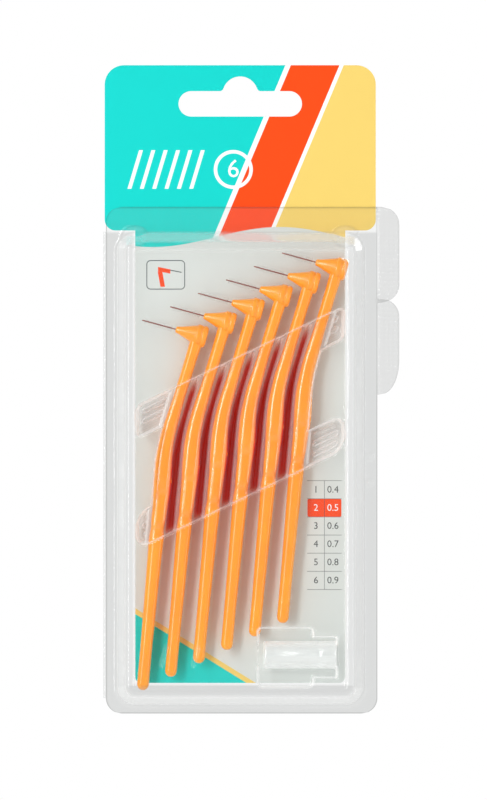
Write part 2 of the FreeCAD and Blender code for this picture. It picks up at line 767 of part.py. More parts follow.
def build_bristles():
    """Outer form of the filaments round the wire, slightly slimmer at the free end."""
    body = new_body("bristles_1")
    profile = new_sketch(body, "bristle_profile")
    start = "(-barrel_length / 2 - nose_length - bristle_start)"
    bore = "wire_radius + fit_clear"
    polygon(profile, [
        (start, bore), (start, "bristle_radius"), (f"{start} - bristle_length", "bristle_tip_radius"),
        (f"{start} - bristle_length", bore),
    ])
    turn_about(body, profile)
    return body


def build_brushes():
    """Six alike brushes, each of a handle, a nose, a wire and its bristles."""
    masters = {
        "handle": (build_handle(), None), "nose": (build_nose(), "wire_tilt"),
        "wire": (build_wire(), "wire_tilt"), "bristles": (build_bristles(), "wire_tilt"),
    }
    for piece, (master, tilt) in masters.items():
        for number in range(1, BRUSH_COUNT + 1):
            label = f"{piece}_{number}"
            body = master
            if number > 1:
                body = new_body(label)
                copy = body.newObject("PartDesign::FeatureBase", f"{label}_copy")
                copy.BaseFeature = master.Tip
                body.Tip = copy
            place(body, f"-brush_left + {number - 1} * pitch_across", "-brush_depth",
                  f"-brush_drop + {number - 1} * pitch_up", tilt)
            keep(body, label)


def build_cap():
    """Clear cap for a brush head: a closed tube with a lip at its open right end."""
    body = new_body("cap")
    profile = new_sketch(body, "cap_profile")
    bore = "(cap_radius - cap_wall)"
    polygon(profile, [
        ("0", "0"), ("0", "cap_radius - cap_round"), ("cap_round", "cap_radius"),
        ("cap_length", "cap_radius"), ("cap_length", f"{bore} + cap_wall / 2"),
        ("cap_length - cap_lip", bore), ("cap_wall", bore), ("cap_wall", "0"),
    ])
    turn_about(body, profile)
    place(body, "cap_left", "-(cap_radius + cap_clear)", "-cap_drop")
    keep(body, "cap")


build_card()
build_back_shell()
build_front_shell()
build_hinge()
build_brushes()
build_cap()
doc.recompute()

# Every object must have built before any file is written
for item in doc.Objects:
    if "Invalid" in item.State or "Error" in item.State:
        raise ValueError(f"{item.Label} did not build: {item.State}")
for part in PARTS:
    if part.Shape.isNull() or not part.Shape.isValid():
        raise ValueError(f"{part.Label} has no valid shape")

os.makedirs("parts", exist_ok=True)
for part in PARTS:
    part.Shape.exportStep(f"parts/{part.Label}.step")
print(f"{len(PARTS)} sub-parts written")
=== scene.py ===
"""Looks of the brush pack: printed card, clear hinged case, six angled brushes and a clear cap."""

import logging
import math
from dataclasses import dataclass, field
from enum import Enum
from typing import Any, Mapping, Optional, Sequence, Union

import bpy
import numpy as np
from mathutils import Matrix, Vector


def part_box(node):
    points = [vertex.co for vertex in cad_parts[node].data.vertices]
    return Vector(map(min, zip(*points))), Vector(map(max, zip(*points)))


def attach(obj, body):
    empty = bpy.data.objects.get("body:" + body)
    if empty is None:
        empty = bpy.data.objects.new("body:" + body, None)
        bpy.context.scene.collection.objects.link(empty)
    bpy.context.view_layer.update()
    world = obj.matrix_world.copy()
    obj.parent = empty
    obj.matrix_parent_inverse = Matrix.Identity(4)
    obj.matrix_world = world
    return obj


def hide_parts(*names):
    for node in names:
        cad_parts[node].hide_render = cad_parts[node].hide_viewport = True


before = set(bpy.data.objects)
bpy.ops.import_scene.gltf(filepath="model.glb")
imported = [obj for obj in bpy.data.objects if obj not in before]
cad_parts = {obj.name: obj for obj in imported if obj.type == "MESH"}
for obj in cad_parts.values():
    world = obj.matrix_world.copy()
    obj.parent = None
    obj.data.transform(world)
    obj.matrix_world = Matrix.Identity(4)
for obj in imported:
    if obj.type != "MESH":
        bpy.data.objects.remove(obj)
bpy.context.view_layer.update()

log = logging.getLogger("brush_pack")

MM = 0.001
PHOTO_WIDTH = 487
PHOTO_HEIGHT = 800
PIXEL_MM = 0.259
SLOT_PIXEL = (240.25, 103.8)
MARKS = "film_marks"

Colour = tuple[float, float, float]
Tone = tuple[float, float, float, float]


class Slot(Enum):
    """Material slots of the record."""

    CARD = "printed_card"
    FILM = "clear_film"
    PLASTIC = "orange_plastic"
    WIRE = "core_wire"
    FILAMENT = "filament"
    CAP = "clear_cap"


class Half(Enum):
    """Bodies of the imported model."""

    REAR = "rear_half"
    FRONT = "front_half"


def linear(red: int, green: int, blue: int) -> Tone:
    """Screen colour from 0 to 255 as linear light.

    Args:
        red: Red on the screen.
        green: Green on the screen.
        blue: Blue on the screen.

    Returns:
        The colour with an alpha of one.
    """
    shares = [part / 255 for part in (red, green, blue)]
    light = [part / 12.92 if part <= 0.04045 else ((part + 0.055) / 1.055) ** 2.4 for part in shares]
    return (light[0], light[1], light[2], 1.0)


# Shader maths


class Field:
    """One number that changes over a surface, with Python operators that add Math nodes."""

    def __init__(self, graph: "Graph", socket: bpy.types.NodeSocket) -> None:
        """Wraps a socket of a graph."""
        self.graph = graph
        self.socket = socket

    def math(self, operation: str, *others: Any, first: Any = None) -> "Field":
        """Adds a Math node.

        Args:
            operation: The node's operation.
            others: Further operands, fields or numbers.
            first: An operand that stands before this field.

        Returns:
            The node's result.
        """
        operands = ([first] if first is not None else []) + [self, *others]
        node = self.graph.add("ShaderNodeMath", {"operation": operation}, dict(enumerate(operands)))
        return Field(self.graph, node.outputs[0])

    def __add__(self, other: Any) -> "Field":
        """Sum."""
        return self.math("ADD", other)

    __radd__ = __add__

    def __sub__(self, other: Any) -> "Field":
        """Difference."""
        return self.math("SUBTRACT", other)

    def __rsub__(self, other: Any) -> "Field":
        """Difference with this field second."""
        return self.math("SUBTRACT", first=other)

    def __mul__(self, other: Any) -> "Field":
        """Product."""
        return self.math("MULTIPLY", other)

    __rmul__ = __mul__

    def __truediv__(self, other: Any) -> "Field":
        """Quotient."""
        return self.math("DIVIDE", other)

    def __pow__(self, other: Any) -> "Field":
        """Power."""
        return self.math("POWER", other)

    def __abs__(self) -> "Field":
        """Size without sign."""
        return self.math("ABSOLUTE")

    def least(self, other: Any) -> "Field":
        """The smaller of two."""
        return self.math("MINIMUM", other)

    def most(self, other: Any) -> "Field":
        """The larger of two."""
        return self.math("MAXIMUM", other)

    def clip(self) -> "Field":
        """Held between 0 and 1."""
        return self.most(0.0).least(1.0)

    def below(self, limit: Any, soft: float) -> "Field":
        """One where this is under a limit, with a soft edge.

        Args:
            limit: The limit.
            soft: Width of the edge.

        Returns:
            A mask from 0 to 1.
        """
        return ((limit - self) / soft + 0.5).clip()

    def sine(self) -> "Field":
        """Sine of the value in radians."""
        return self.math("SINE")


Source = Union[Field, bpy.types.NodeSocket, float, Sequence[float]]


class Graph:
    """Nodes of one material or world."""

    def __init__(self, tree: bpy.types.NodeTree) -> None:
        """Empties a node tree and keeps it."""
        self.tree = tree
        tree.nodes.clear()

    def add(self, kind: str, settings: Optional[Mapping[str, Any]] = None,
            inputs: Optional[Mapping[Any, Source]] = None) -> bpy.types.Node:
        """Adds any node.

        Args:
            kind: The node's type.
            settings: Its own settings, which are set first.
            inputs: Values or links of its sockets, by name or number.

        Returns:
            The node.
        """
        node = self.tree.nodes.new(kind)
        for name, setting in (settings or {}).items():
            setattr(node, name, setting)
        for name, source in (inputs or {}).items():
            target = node.inputs[name]
            if isinstance(source, Field):
                source = source.socket
            if isinstance(source, bpy.types.NodeSocket):
                self.tree.links.new(source, target)
            else:
                target.default_value = source
        return node

    def place(self) -> tuple[Field, Field, Field]:
        """Object coordinates in millimetres.

        Returns:
            X, Y and Z.
        """
        coordinates = self.add("ShaderNodeTexCoord").outputs["Object"]
        scaled = self.add("ShaderNodeVectorMath", {"operation": "SCALE"}, {0: coordinates, "Scale": 1 / MM})
        parts = self.add("ShaderNodeSeparateXYZ", inputs={0: scaled.outputs[0]})
        return tuple(Field(self, socket) for socket in parts.outputs)

    def noise(self, per_mm: float, detail: float = 3.0, stretch: Sequence[float] = (1, 1, 1)) -> Field:
        """Noise over the object.

        Args:
            per_mm: Waves in each millimetre.
            detail: Octaves.
            stretch: Factors on X, Y and Z.

        Returns:
            Noise from 0 to 1.
        """
        coordinates = self.add("ShaderNodeTexCoord").outputs["Object"]
        mapped = self.add("ShaderNodeMapping", inputs={"Vector": coordinates, "Scale": tuple(stretch)})
        node = self.add("ShaderNodeTexNoise", inputs={
            "Vector": mapped.outputs[0], "Scale": per_mm / MM, "Detail": detail})
        return Field(self, node.outputs[0])

    def blend(self, share: Source, first: Source, second: Source) -> bpy.types.NodeSocket:
        """Mixes two colours.

        Args:
            share: Share of the second.
            first: Colour at 0.
            second: Colour at 1.

        Returns:
            The mixed colour.
        """
        node = self.add("ShaderNodeMix", {"data_type": "RGBA"}, {0: share, 6: first, 7: second})
        return node.outputs[2]

    def bump(self, height: Field, millimetres: float) -> bpy.types.NodeSocket:
        """Normal that follows a height.

        Args:
            height: Height from 0 to 1.
            millimetres: Real size of that height.

        Returns:
            The normal.
        """
        node = self.add("ShaderNodeBump", inputs={
            "Strength": 1.0, "Distance": millimetres * MM, "Height": height})
        return node.outputs[0]

    def surface(self, shader: bpy.types.Node) -> None:
        """Makes a shader the material's surface."""
        self.add("ShaderNodeOutputMaterial", inputs={"Surface": shader.outputs[0]})

    def mix(self, share: Source, first: bpy.types.Node, second: bpy.types.Node) -> bpy.types.Node:
        """Mixes two shaders.

        Args:
            share: Share of the second.
            first: Shader at 0.
            second: Shader at 1.

        Returns:
            The mixed shader.
        """
        return self.add("ShaderNodeMixShader", inputs={0: share, 1: first.outputs[0], 2: second.outputs[0]})


def new_material(name: str) -> tuple[bpy.types.Material, Graph]:
    """Makes an empty material.

    Args:
        name: The material's name.

    Returns:
        The material and its nodes.
    """
    material = bpy.data.materials.new(name)
    material.use_nodes = True
    return material, Graph(material.node_tree)


# Finishes


@dataclass(frozen=True)
class ClearFinish:
    """Clear sheet: light passes, with a gloss that grows towards the edges and on steep walls, where a
    painted sheen and glow is added.
    """

    name: str
    tint: Colour
    flat_tint: Colour
    haze: float
    roughness: float
    wave_mm: float
    dots_from: float
    # Share of the painted sheen on steep walls.
    painted_shine: float
    marked: bool = True
    # Level of the painted glow that the pale shader emits over the whole sheet.
    painted_light: float = 0.0
    mirror: float = 0.05
    mirror_blur: float = 0.11
    dot_mm: float = 2.3
    # Painted red light and shade between the handles, and painted dark lines at cut edges and creases.
    painted_warm_tint: Colour = (0.86, 0.04, 0.003)
    edge_shade_tint: Colour = (0.68, 0.685, 0.68)
    body: Tone = linear(236, 238, 237)

    def material(self) -> bpy.types.Material:
        """Builds the material.

        Returns:
            A mix of transparent shaders, a pale one and a mirror. The sheet's own marks give the share of
            flat flange, which also carries a painted shade band at the bubble's foot, of painted red light
            and shade between the handles, of painted sheen and glow on steep walls and of painted dark
            lines at cut edges, creases and tab dots; the angle of view adds gloss, broad noise the ripple
            of formed film and crossed sines the dots of the tabs.
        """
        material, graph = new_material(self.name)
        marks = graph.add("ShaderNodeAttribute", {"attribute_name": MARKS})
        parts = graph.add("ShaderNodeSeparateColor", inputs={0: marks.outputs["Color"]})
        flat, painted_warm, painted_sheen = (Field(graph, socket) for socket in parts.outputs)
        edge = Field(graph, marks.outputs["Alpha"]) * float(self.marked)
        x, _, z = graph.place()
        ripple = graph.noise(0.05, 2.0) * self.wave_mm
        pitch = 2 * math.pi / self.dot_mm
        dots = ((x + z) * pitch).sine() * ((x - z) * pitch).sine()
        on_tab = 1 - x.below(self.dots_from, 0.8)
        height = ripple + dots.clip() * on_tab * 0.22
        normal = graph.bump(height, 1.0)
        speck = graph.noise(0.6, 3.0)
        weight = graph.add("ShaderNodeLayerWeight", inputs={"Blend": 0.5, "Normal": normal})
        facing = Field(graph, weight.outputs["Facing"])
        share = facing ** 2.2 * 0.6 + self.haze * (0.6 + 0.8 * speck)
        # Painted highlight: steep walls get a larger share of the pale shader.
        share = share + self.painted_shine * painted_sheen
        # Painted shade: darker dots on the tabs.
        edge = edge + 0.3 * dots.clip() * on_tab
        # Less gloss where the painted red light and shade lies.
        share = (share * (1 - 0.5 * painted_warm)).clip()
        # Painted sheen and glow: the pale shader turns whiter and emits white on steep walls, and emits at
        # the painted glow level elsewhere.
        gloss = graph.add("ShaderNodeBsdfPrincipled", inputs={
            "Base Color": graph.blend(painted_sheen, self.body, linear(252, 252, 251)),
            "Roughness": self.roughness + 0.06 * speck,
            "IOR": 1.45,
            "Emission Color": graph.blend(painted_sheen, (self.painted_light, self.painted_light, self.painted_light, 1), (1, 1, 1, 1)),
            "Emission Strength": 0.16,
            "Normal": normal,
        })
        # Tints: clear, the darker flange with its painted shade band, painted red light and shade between
        # the handles, and painted dark lines.
        clear, dull, painted_light, rim = (
            graph.add("ShaderNodeBsdfTransparent", inputs={"Color": (*tint, 1.0)})
            for tint in (self.tint, self.flat_tint, self.painted_warm_tint, self.edge_shade_tint))
        through = graph.mix(flat, clear, dull)
        through = graph.mix(painted_warm, through, painted_light)
        through = graph.mix(edge, through, rim)
        sheet = graph.mix(share, through, gloss)
        mirror = graph.add("ShaderNodeBsdfPrincipled", inputs={
            "Base Color": (1, 1, 1, 1),
            "Metallic": 1.0,
            "Roughness": self.mirror_blur + 0.06 * speck,
            "Normal": normal,
        })
        glint = self.mirror + 0.25 * facing ** 4.0
        graph.surface(graph.mix(glint, sheet, mirror))
        return material


@dataclass(frozen=True)
class PlasticFinish:
    """Glossy moulded plastic that lets a little light in."""

    name: str = "orange_moulding"
    main: Tone = linear(255, 172, 0)
    deep: Tone = linear(255, 148, 0)
    roughness: float = 0.3
    glow_mm: float = 1.1

    def material(self) -> bpy.types.Material:
        """Builds the material.

        Returns:
            A plastic whose tone drifts slowly, with flow lines along Z and a fine skin, and a painted glow
            from a faint orange emission.
        """
        material, graph = new_material(self.name)
        drift = graph.noise(0.12, 2.0)
        flow = graph.noise(1.2, 3.0, (1.0, 1.0, 0.12))
        skin = graph.noise(9.0, 2.0)
        shader = graph.add("ShaderNodeBsdfPrincipled", inputs={
            "Base Color": graph.blend(drift * 0.6 + flow * 0.4, self.deep, self.main),
            "Roughness": self.roughness - 0.06 + 0.12 * flow,
            "IOR": 1.49,
            "Specular IOR Level": 0.18,
            "Subsurface Weight": 0.2,
            "Subsurface Radius": (1.0, 0.5, 0.06),
            "Subsurface Scale": self.glow_mm * MM,
            "Coat Weight": 1.0,
            "Coat Roughness": 0.16,
            # Painted glow: a faint orange emission that lightens the plastic in shade.
            "Emission Color": graph.blend(drift, linear(255, 128, 0), linear(255, 160, 0)),
            "Emission Strength": 0.14,
            "Normal": graph.bump(skin * 0.7 + flow * 0.3, 0.012),
        })
        graph.surface(shader)
        return material


@dataclass(frozen=True)
class WireFinish:
    """Coated steel wire with a brownish cast."""

    name: str = "coated_wire"
    dark: Tone = linear(124, 40, 30)
    light: Tone = linear(172, 96, 82)

    def material(self) -> bpy.types.Material:
        """Builds the material.

        Returns:
            A half-metallic shader with streaks along the wire.
        """
        material, graph = new_material(self.name)
        streak = graph.noise(5.0, 3.0)
        graph.surface(graph.add("ShaderNodeBsdfPrincipled", inputs={
            "Base Color": graph.blend(streak, self.dark, self.light),
            "Metallic": 0.15 + 0.2 * streak,
            "Roughness": 0.32 + 0.18 * streak,
            "Normal": graph.bump(streak, 0.01),
        }))
        return material


@dataclass(frozen=True)
class FilamentFinish:
    """Fine translucent filaments."""

    name: str = "fine_filament"
    base: Tone = linear(226, 205, 198)
    tip: Tone = linear(244, 238, 236)
    cover: float = 0.22

    def material(self) -> bpy.types.Material:
        """Builds the material.

        Returns:
            A pale shader that covers only part of what is behind it.
        """
        material, graph = new_material(self.name)
        tone = graph.noise(1.5, 2.0)
        graph.surface(graph.add("ShaderNodeBsdfPrincipled", inputs={
            "Base Color": graph.blend(tone, self.base, self.tip),
            "Roughness": 0.4 + 0.2 * tone,
            "Alpha": self.cover * (0.7 + 0.6 * tone),
        }))
        return material


@dataclass(frozen=True)
class InkFinish:
    """Printing ink of the numbers."""

    name: str
    tone: Tone

    def material(self) -> bpy.types.Material:
        """Builds the material.

        Returns:
            A matt ink that lets a little of the paper's grain through.
        """
        material, graph = new_material(self.name)
        grain = graph.noise(4.0, 3.0)
        paler = tuple(0.9 * part + 0.1 for part in self.tone[:3])
        graph.surface(graph.add("ShaderNodeBsdfPrincipled", inputs={
            "Base Color": graph.blend(grain * 0.5, self.tone, (*paler, 1.0)),
            "Roughness": 0.45 + 0.15 * grain,
        }))
        return material


@dataclass(frozen=True)
class CardFinish:
    """Coated board with a plain print of leaning bands, a small table and a frame."""

    name: str = "printed_board"
    teal: Tone = linear(0, 212, 203)
    red: Tone = linear(250, 74, 4)
    yellow: Tone = linear(242, 210, 112)
    paper: Tone = linear(213, 219, 215)
    white: Tone = linear(250, 251, 251)
    ink: Tone = linear(66, 78, 82)
    lean: float = 0.42
    front_until: float = 0.2
    edge: float = 0.1

    def box(self, x: Field, z: Field, centre: Sequence[float], half: Sequence[float],
            corner: float) -> Field:
        """Distance from a rounded box, negative inside.

        Args:
            x: X of the point.
            z: Z of the point.
            centre: Middle of the box.
            half: Half sizes.
            corner: Radius of the corners.

        Returns:
            The larger of the two overhangs, rounded by their length where both are positive.
        """
        across = abs(x - centre[0]) - (half[0] - corner)
        up = abs(z - centre[1]) - (half[1] - corner)
        outer = (across.most(0.0) ** 2.0 + up.most(0.0) ** 2.0) ** 0.5
        return outer + across.most(up).least(0.0) - corner

    def material(self, table: "SizeTable") -> bpy.types.Material:
        """Builds the material.

        Args:
            table: The printed table, whose lines are drawn here.

        Returns:
            The board: bands by distance from leaning lines, cut by a wave below the header.
        """
        material, graph = new_material(self.name)
        x, y, z = graph.place()
        grain = graph.noise(2.2, 5.0)
        cloud = graph.noise(0.02, 2.0)
        soft = self.edge
        lean = x - z * self.lean

        paper = graph.blend(cloud * 0.3, self.paper, self.white)
        wave = -34.5 + 2.6 * (x * (2 * math.pi / 66) + 0.6).sine()
        header = 1 - z.below(wave, soft)
        bands = graph.blend(1 - lean.below(7.5, soft), self.teal, self.white)
        bands = graph.blend(1 - lean.below(8.9, soft), bands, self.red)
        bands = graph.blend(1 - lean.below(21.5, soft), bands, self.white)
        bands = graph.blend(1 - lean.below(22.6, soft), bands, self.yellow)
        colour = graph.blend(header, paper, bands)

        foot = z + x * 0.62
        colour = graph.blend(foot.below(-147.5, soft), colour, self.yellow)
        colour = graph.blend(foot.below(-149.0, soft), colour, self.teal)

        stroke = (x - z * 0.3 - 19.5).math("PINGPONG", 1.6).below(0.5, soft)
        rows = (abs(x - z * 0.3 + 14.7) - 9.4).most(abs(z + 17.0) - 5.0).below(0.0, soft)
        colour = graph.blend(stroke * rows, colour, self.white)
        ring = abs(((x + 1.8) ** 2.0 + (z + 17.0) ** 2.0) ** 0.5 - 4.6).below(0.45, soft)
        colour = graph.blend(ring, colour, self.white)

        frame_line = abs(self.box(x, z, (-19.3, -44.3), (4.9, 3.7), 1.0)).below(0.11, soft)
        stem = abs(x + 20.6 + (z + 44.5) * 0.18) - 0.6
        stem = stem.most(abs(z + 45.4) - 2.0).below(0.0, soft)
        head = (abs(z + 43.1 + (x + 19.8) * 0.2) - 0.55).most(abs(x + 19.7) - 1.6).below(0.0, soft)
        needle = (abs(z + 43.3 - (x + 17.0) * -0.2) - 0.12).most(abs(x + 16.7) - 1.5).below(0.0, soft)
        colour = graph.blend(frame_line.most(needle), colour, self.ink)
        colour = graph.blend(stem.most(head), colour, self.red)

        chosen = self.box(x, z, table.row_middle(table.chosen), table.row_half(), 0.5).below(0.0, soft)
        colour = graph.blend(chosen, colour, self.red)
        column = abs(z - table.centre()) - table.height() / 2
        lines = abs(x - table.middle).most(column).below(table.line, soft)
        for number in range(table.rows + 1):
            level = abs(z - (table.top - number * table.pitch))
            lines = lines.most(level.most(abs(x - table.middle) - table.half_width).below(table.line, soft))
        colour = graph.blend(lines * 0.8, colour, self.ink)

        front = y.below(self.front_until, 0.02)
        board = graph.blend(grain, linear(226, 224, 218), linear(240, 239, 235))
        shader = graph.add("ShaderNodeBsdfPrincipled", inputs={
            "Base Color": graph.blend(front, board, colour),
            "Roughness": 0.62 - 0.24 * front + 0.1 * grain,
            "Specular IOR Level": 0.2,
            "Normal": graph.bump(grain, 0.015),
        })
        graph.surface(shader)
        return material


# Surfaces


@dataclass
class Patch:
    """Points in millimetres with four-sided and three-sided faces."""

    points: np.ndarray
    quads: np.ndarray
    tris: np.ndarray = field(default_factory=lambda: np.zeros((0, 3), int))


def grid_patch(points: np.ndarray, wrap: bool = False, ends: bool = False) -> Patch:
    """Faces over a grid of points.

    Args:
        points: Array of rows, columns and three coordinates.
        wrap: Whether the last column joins the first.
        ends: Whether each end row is closed by a fan about its middle.

    Returns:
        The patch.
    """
    rows, columns = points.shape[:2]
    index = np.arange(rows * columns).reshape(rows, columns)
    right = np.roll(index, -1, axis=1) if wrap else index[:, 1:]
    left = index if wrap else index[:, :-1]
    quads = np.stack([left[:-1], right[:-1], right[1:], left[1:]], axis=-1).reshape(-1, 4)
    flat = points.reshape(-1, 3)
    tris = np.zeros((0, 3), int)
    if ends:
        poles = np.array([points[0].mean(axis=0), points[-1].mean(axis=0)])
        first, last = rows * columns, rows * columns + 1
        start = np.stack([np.full(columns, first), np.roll(index[0], -1), index[0]], axis=-1)
        stop = np.stack([np.full(columns, last), index[-1], np.roll(index[-1], -1)], axis=-1)
        flat = np.concatenate([flat, poles])
        tris = np.concatenate([start, stop])
    return Patch(flat, quads, tris)


def turned_patch(profile: np.ndarray, sides: int) -> Patch:
    """Surface of a profile turned about the X axis.

    Args:
        profile: Rows of a place along X and a radius.
        sides: Steps round the axis.

    Returns:
        The patch, with its ends closed.
    """
    angle = np.linspace(0, 2 * math.pi, sides, endpoint=False)
    along = np.repeat(profile[:, :1], sides, axis=1)
    radius = profile[:, 1:2]
    points = np.stack([along, radius * np.cos(angle), radius * np.sin(angle)], axis=-1)
    return grid_patch(points, wrap=True, ends=True)


def build_piece(name: str, patches: Sequence[Patch], material: bpy.types.Material,
                marks: Optional[np.ndarray] = None) -> bpy.types.Object:
    """Puts patches into one mesh object at the origin.

    Args:
        name: Name of the piece.
        patches: Its surfaces.
        material: Its material.
        marks: Four shares for each point that the material reads.

    Returns:
        The object, with smooth faces.
    """
    sizes = np.cumsum([0] + [len(patch.points) for patch in patches])
    points = np.concatenate([patch.points for patch in patches]) * MM
    quads = np.concatenate([patch.quads + start for patch, start in zip(patches, sizes)])
    tris = np.concatenate([patch.tris + start for patch, start in zip(patches, sizes)])
    corners = np.concatenate([quads.ravel(), tris.ravel()]).astype(np.int32)
    starts = np.concatenate([np.arange(len(quads)) * 4, len(quads) * 4 + np.arange(len(tris)) * 3])
    mesh = bpy.data.meshes.new(name)
    mesh.vertices.add(len(points))
    mesh.vertices.foreach_set("co", points.astype(np.float32).ravel())
    mesh.loops.add(len(corners))
    mesh.loops.foreach_set("vertex_index", corners)
    mesh.polygons.add(len(starts))
    mesh.polygons.foreach_set("loop_start", starts.astype(np.int32))
    mesh.polygons.foreach_set("use_smooth", np.ones(len(starts), bool))
    mesh.update(calc_edges=True)
    mesh.validate()
    if marks is not None:
        attribute = mesh.attributes.new(MARKS, "FLOAT_COLOR", "POINT")
        attribute.data.foreach_set("color", marks.astype(np.float32).ravel())
    mesh.materials.append(material)
    piece = bpy.data.objects.new(name, mesh)
    bpy.context.scene.collection.objects.link(piece)
    return piece


def join_frame(piece: bpy.types.Object, half: Half, nodes: Sequence[str] = ()) -> None:
    """Sets a piece on its body and reports it.

    Args:
        piece: The piece.
        half: The body it rides on.
        nodes: CAD nodes that it stands for.
    """
    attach(piece, half.value)
    if nodes:
        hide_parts(*nodes)
    log.info("%s: %d faces on %s", piece.name, len(piece.data.polygons), half.value)


def soft_step(value: np.ndarray, rounding: float = 0.08) -> np.ndarray:
    """A ramp from 0 at 0 to 1 at 1 with rounded corners.

    Args:
        value: Where on the ramp.
        rounding: Size of the rounding, as a share of the ramp.

    Returns:
        The difference of two soft ramps, the logarithms of one plus an exponential.
    """
    rise = np.logaddexp(0, value / rounding)
    fall = np.logaddexp(0, (value - 1) / rounding)
    return rounding * (rise - fall)


def depth_in_box(x: np.ndarray, z: np.ndarray, centre: Sequence[float], half: Sequence[float],
                 corner: float) -> np.ndarray:
    """How far points lie inside a rounded box, negative outside.

    Args:
        x: X of the points.
        z: Z of the points.
        centre: Middle of the box.
        half: Half sizes.
        corner: Radius of the corners.

    Returns:
        The corner's radius less the overhang beyond the box shrunk by that radius.
    """
    across = np.abs(x - centre[0]) - (half[0] - corner)
    up = np.abs(z - centre[1]) - (half[1] - corner)
    outer = np.hypot(np.maximum(across, 0), np.maximum(up, 0))
    return corner - outer - np.minimum(np.maximum(across, up), 0)


def box_mm(node: str) -> tuple[np.ndarray, np.ndarray]:
    """Lowest and highest corner of a CAD node in millimetres."""
    low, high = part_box(node)
    return np.array(low) / MM, np.array(high) / MM


# Brushes


@dataclass
class HandleLine:
    """Centre line of a handle: a straight neck, an arc at the knee and a straight grip."""

    neck_lean: float = math.radians(17.0)
    grip_lean: float = math.radians(5.2)
    offset: float = 1.15
    knee_drop: float = 28.0
    knee_radius: float = 55.0
    drop: float = 91.4

    def __post_init__(self) -> None:
        """Works out where the arc starts, its centre and the three lengths."""
        reach = self.knee_radius * math.tan((self.neck_lean - self.grip_lean) / 2)
        left = self.offset + self.knee_drop * math.tan(self.neck_lean)
        self.neck_run = self.knee_drop / math.cos(self.neck_lean) - reach
        self.arc_run = self.knee_radius * (self.neck_lean - self.grip_lean)
        self.grip_run = (self.drop - self.knee_drop) / math.cos(self.grip_lean) - reach
        self.turn = (
            reach * math.sin(self.neck_lean) + self.knee_radius * math.cos(self.neck_lean) - left,
            reach * math.cos(self.neck_lean) - self.knee_radius * math.sin(self.neck_lean) - self.knee_drop,
        )

    @property
    def run(self) -> float:
        """Whole length."""
        return self.neck_run + self.arc_run + self.grip_run

    def at(self, along: np.ndarray) -> tuple[np.ndarray, np.ndarray, np.ndarray]:
        """Points of the line.

        Args:
            along: Lengths from the head.

        Returns:
            X, Z and the lean there. The lean falls evenly along the arc, a point of the arc lies
            one radius from its centre, and the straight runs carry on from the arc's ends.
        """
        turned = np.clip((along - self.neck_run) / self.knee_radius, 0, self.neck_lean - self.grip_lean)
        lean = self.neck_lean - turned
        beyond = np.minimum(along - self.neck_run, 0) + np.maximum(along - self.neck_run - self.arc_run, 0)
        x = self.turn[0] - self.knee_radius * np.cos(lean) - beyond * np.sin(lean)
        z = self.turn[1] + self.knee_radius * np.sin(lean) - beyond * np.cos(lean)
        return x, z, lean

    def across(self, drop: np.ndarray) -> tuple[np.ndarray, np.ndarray]:
        """X and lean at a drop below the head.

        Args:
            drop: Drops below the head.

        Returns:
            X and the lean, found along the line by interpolation.
        """
        along = np.linspace(-10, self.run + 20, 400)
        x, z, lean = self.at(along)
        return np.interp(drop, -z, x), np.interp(drop, -z, lean)


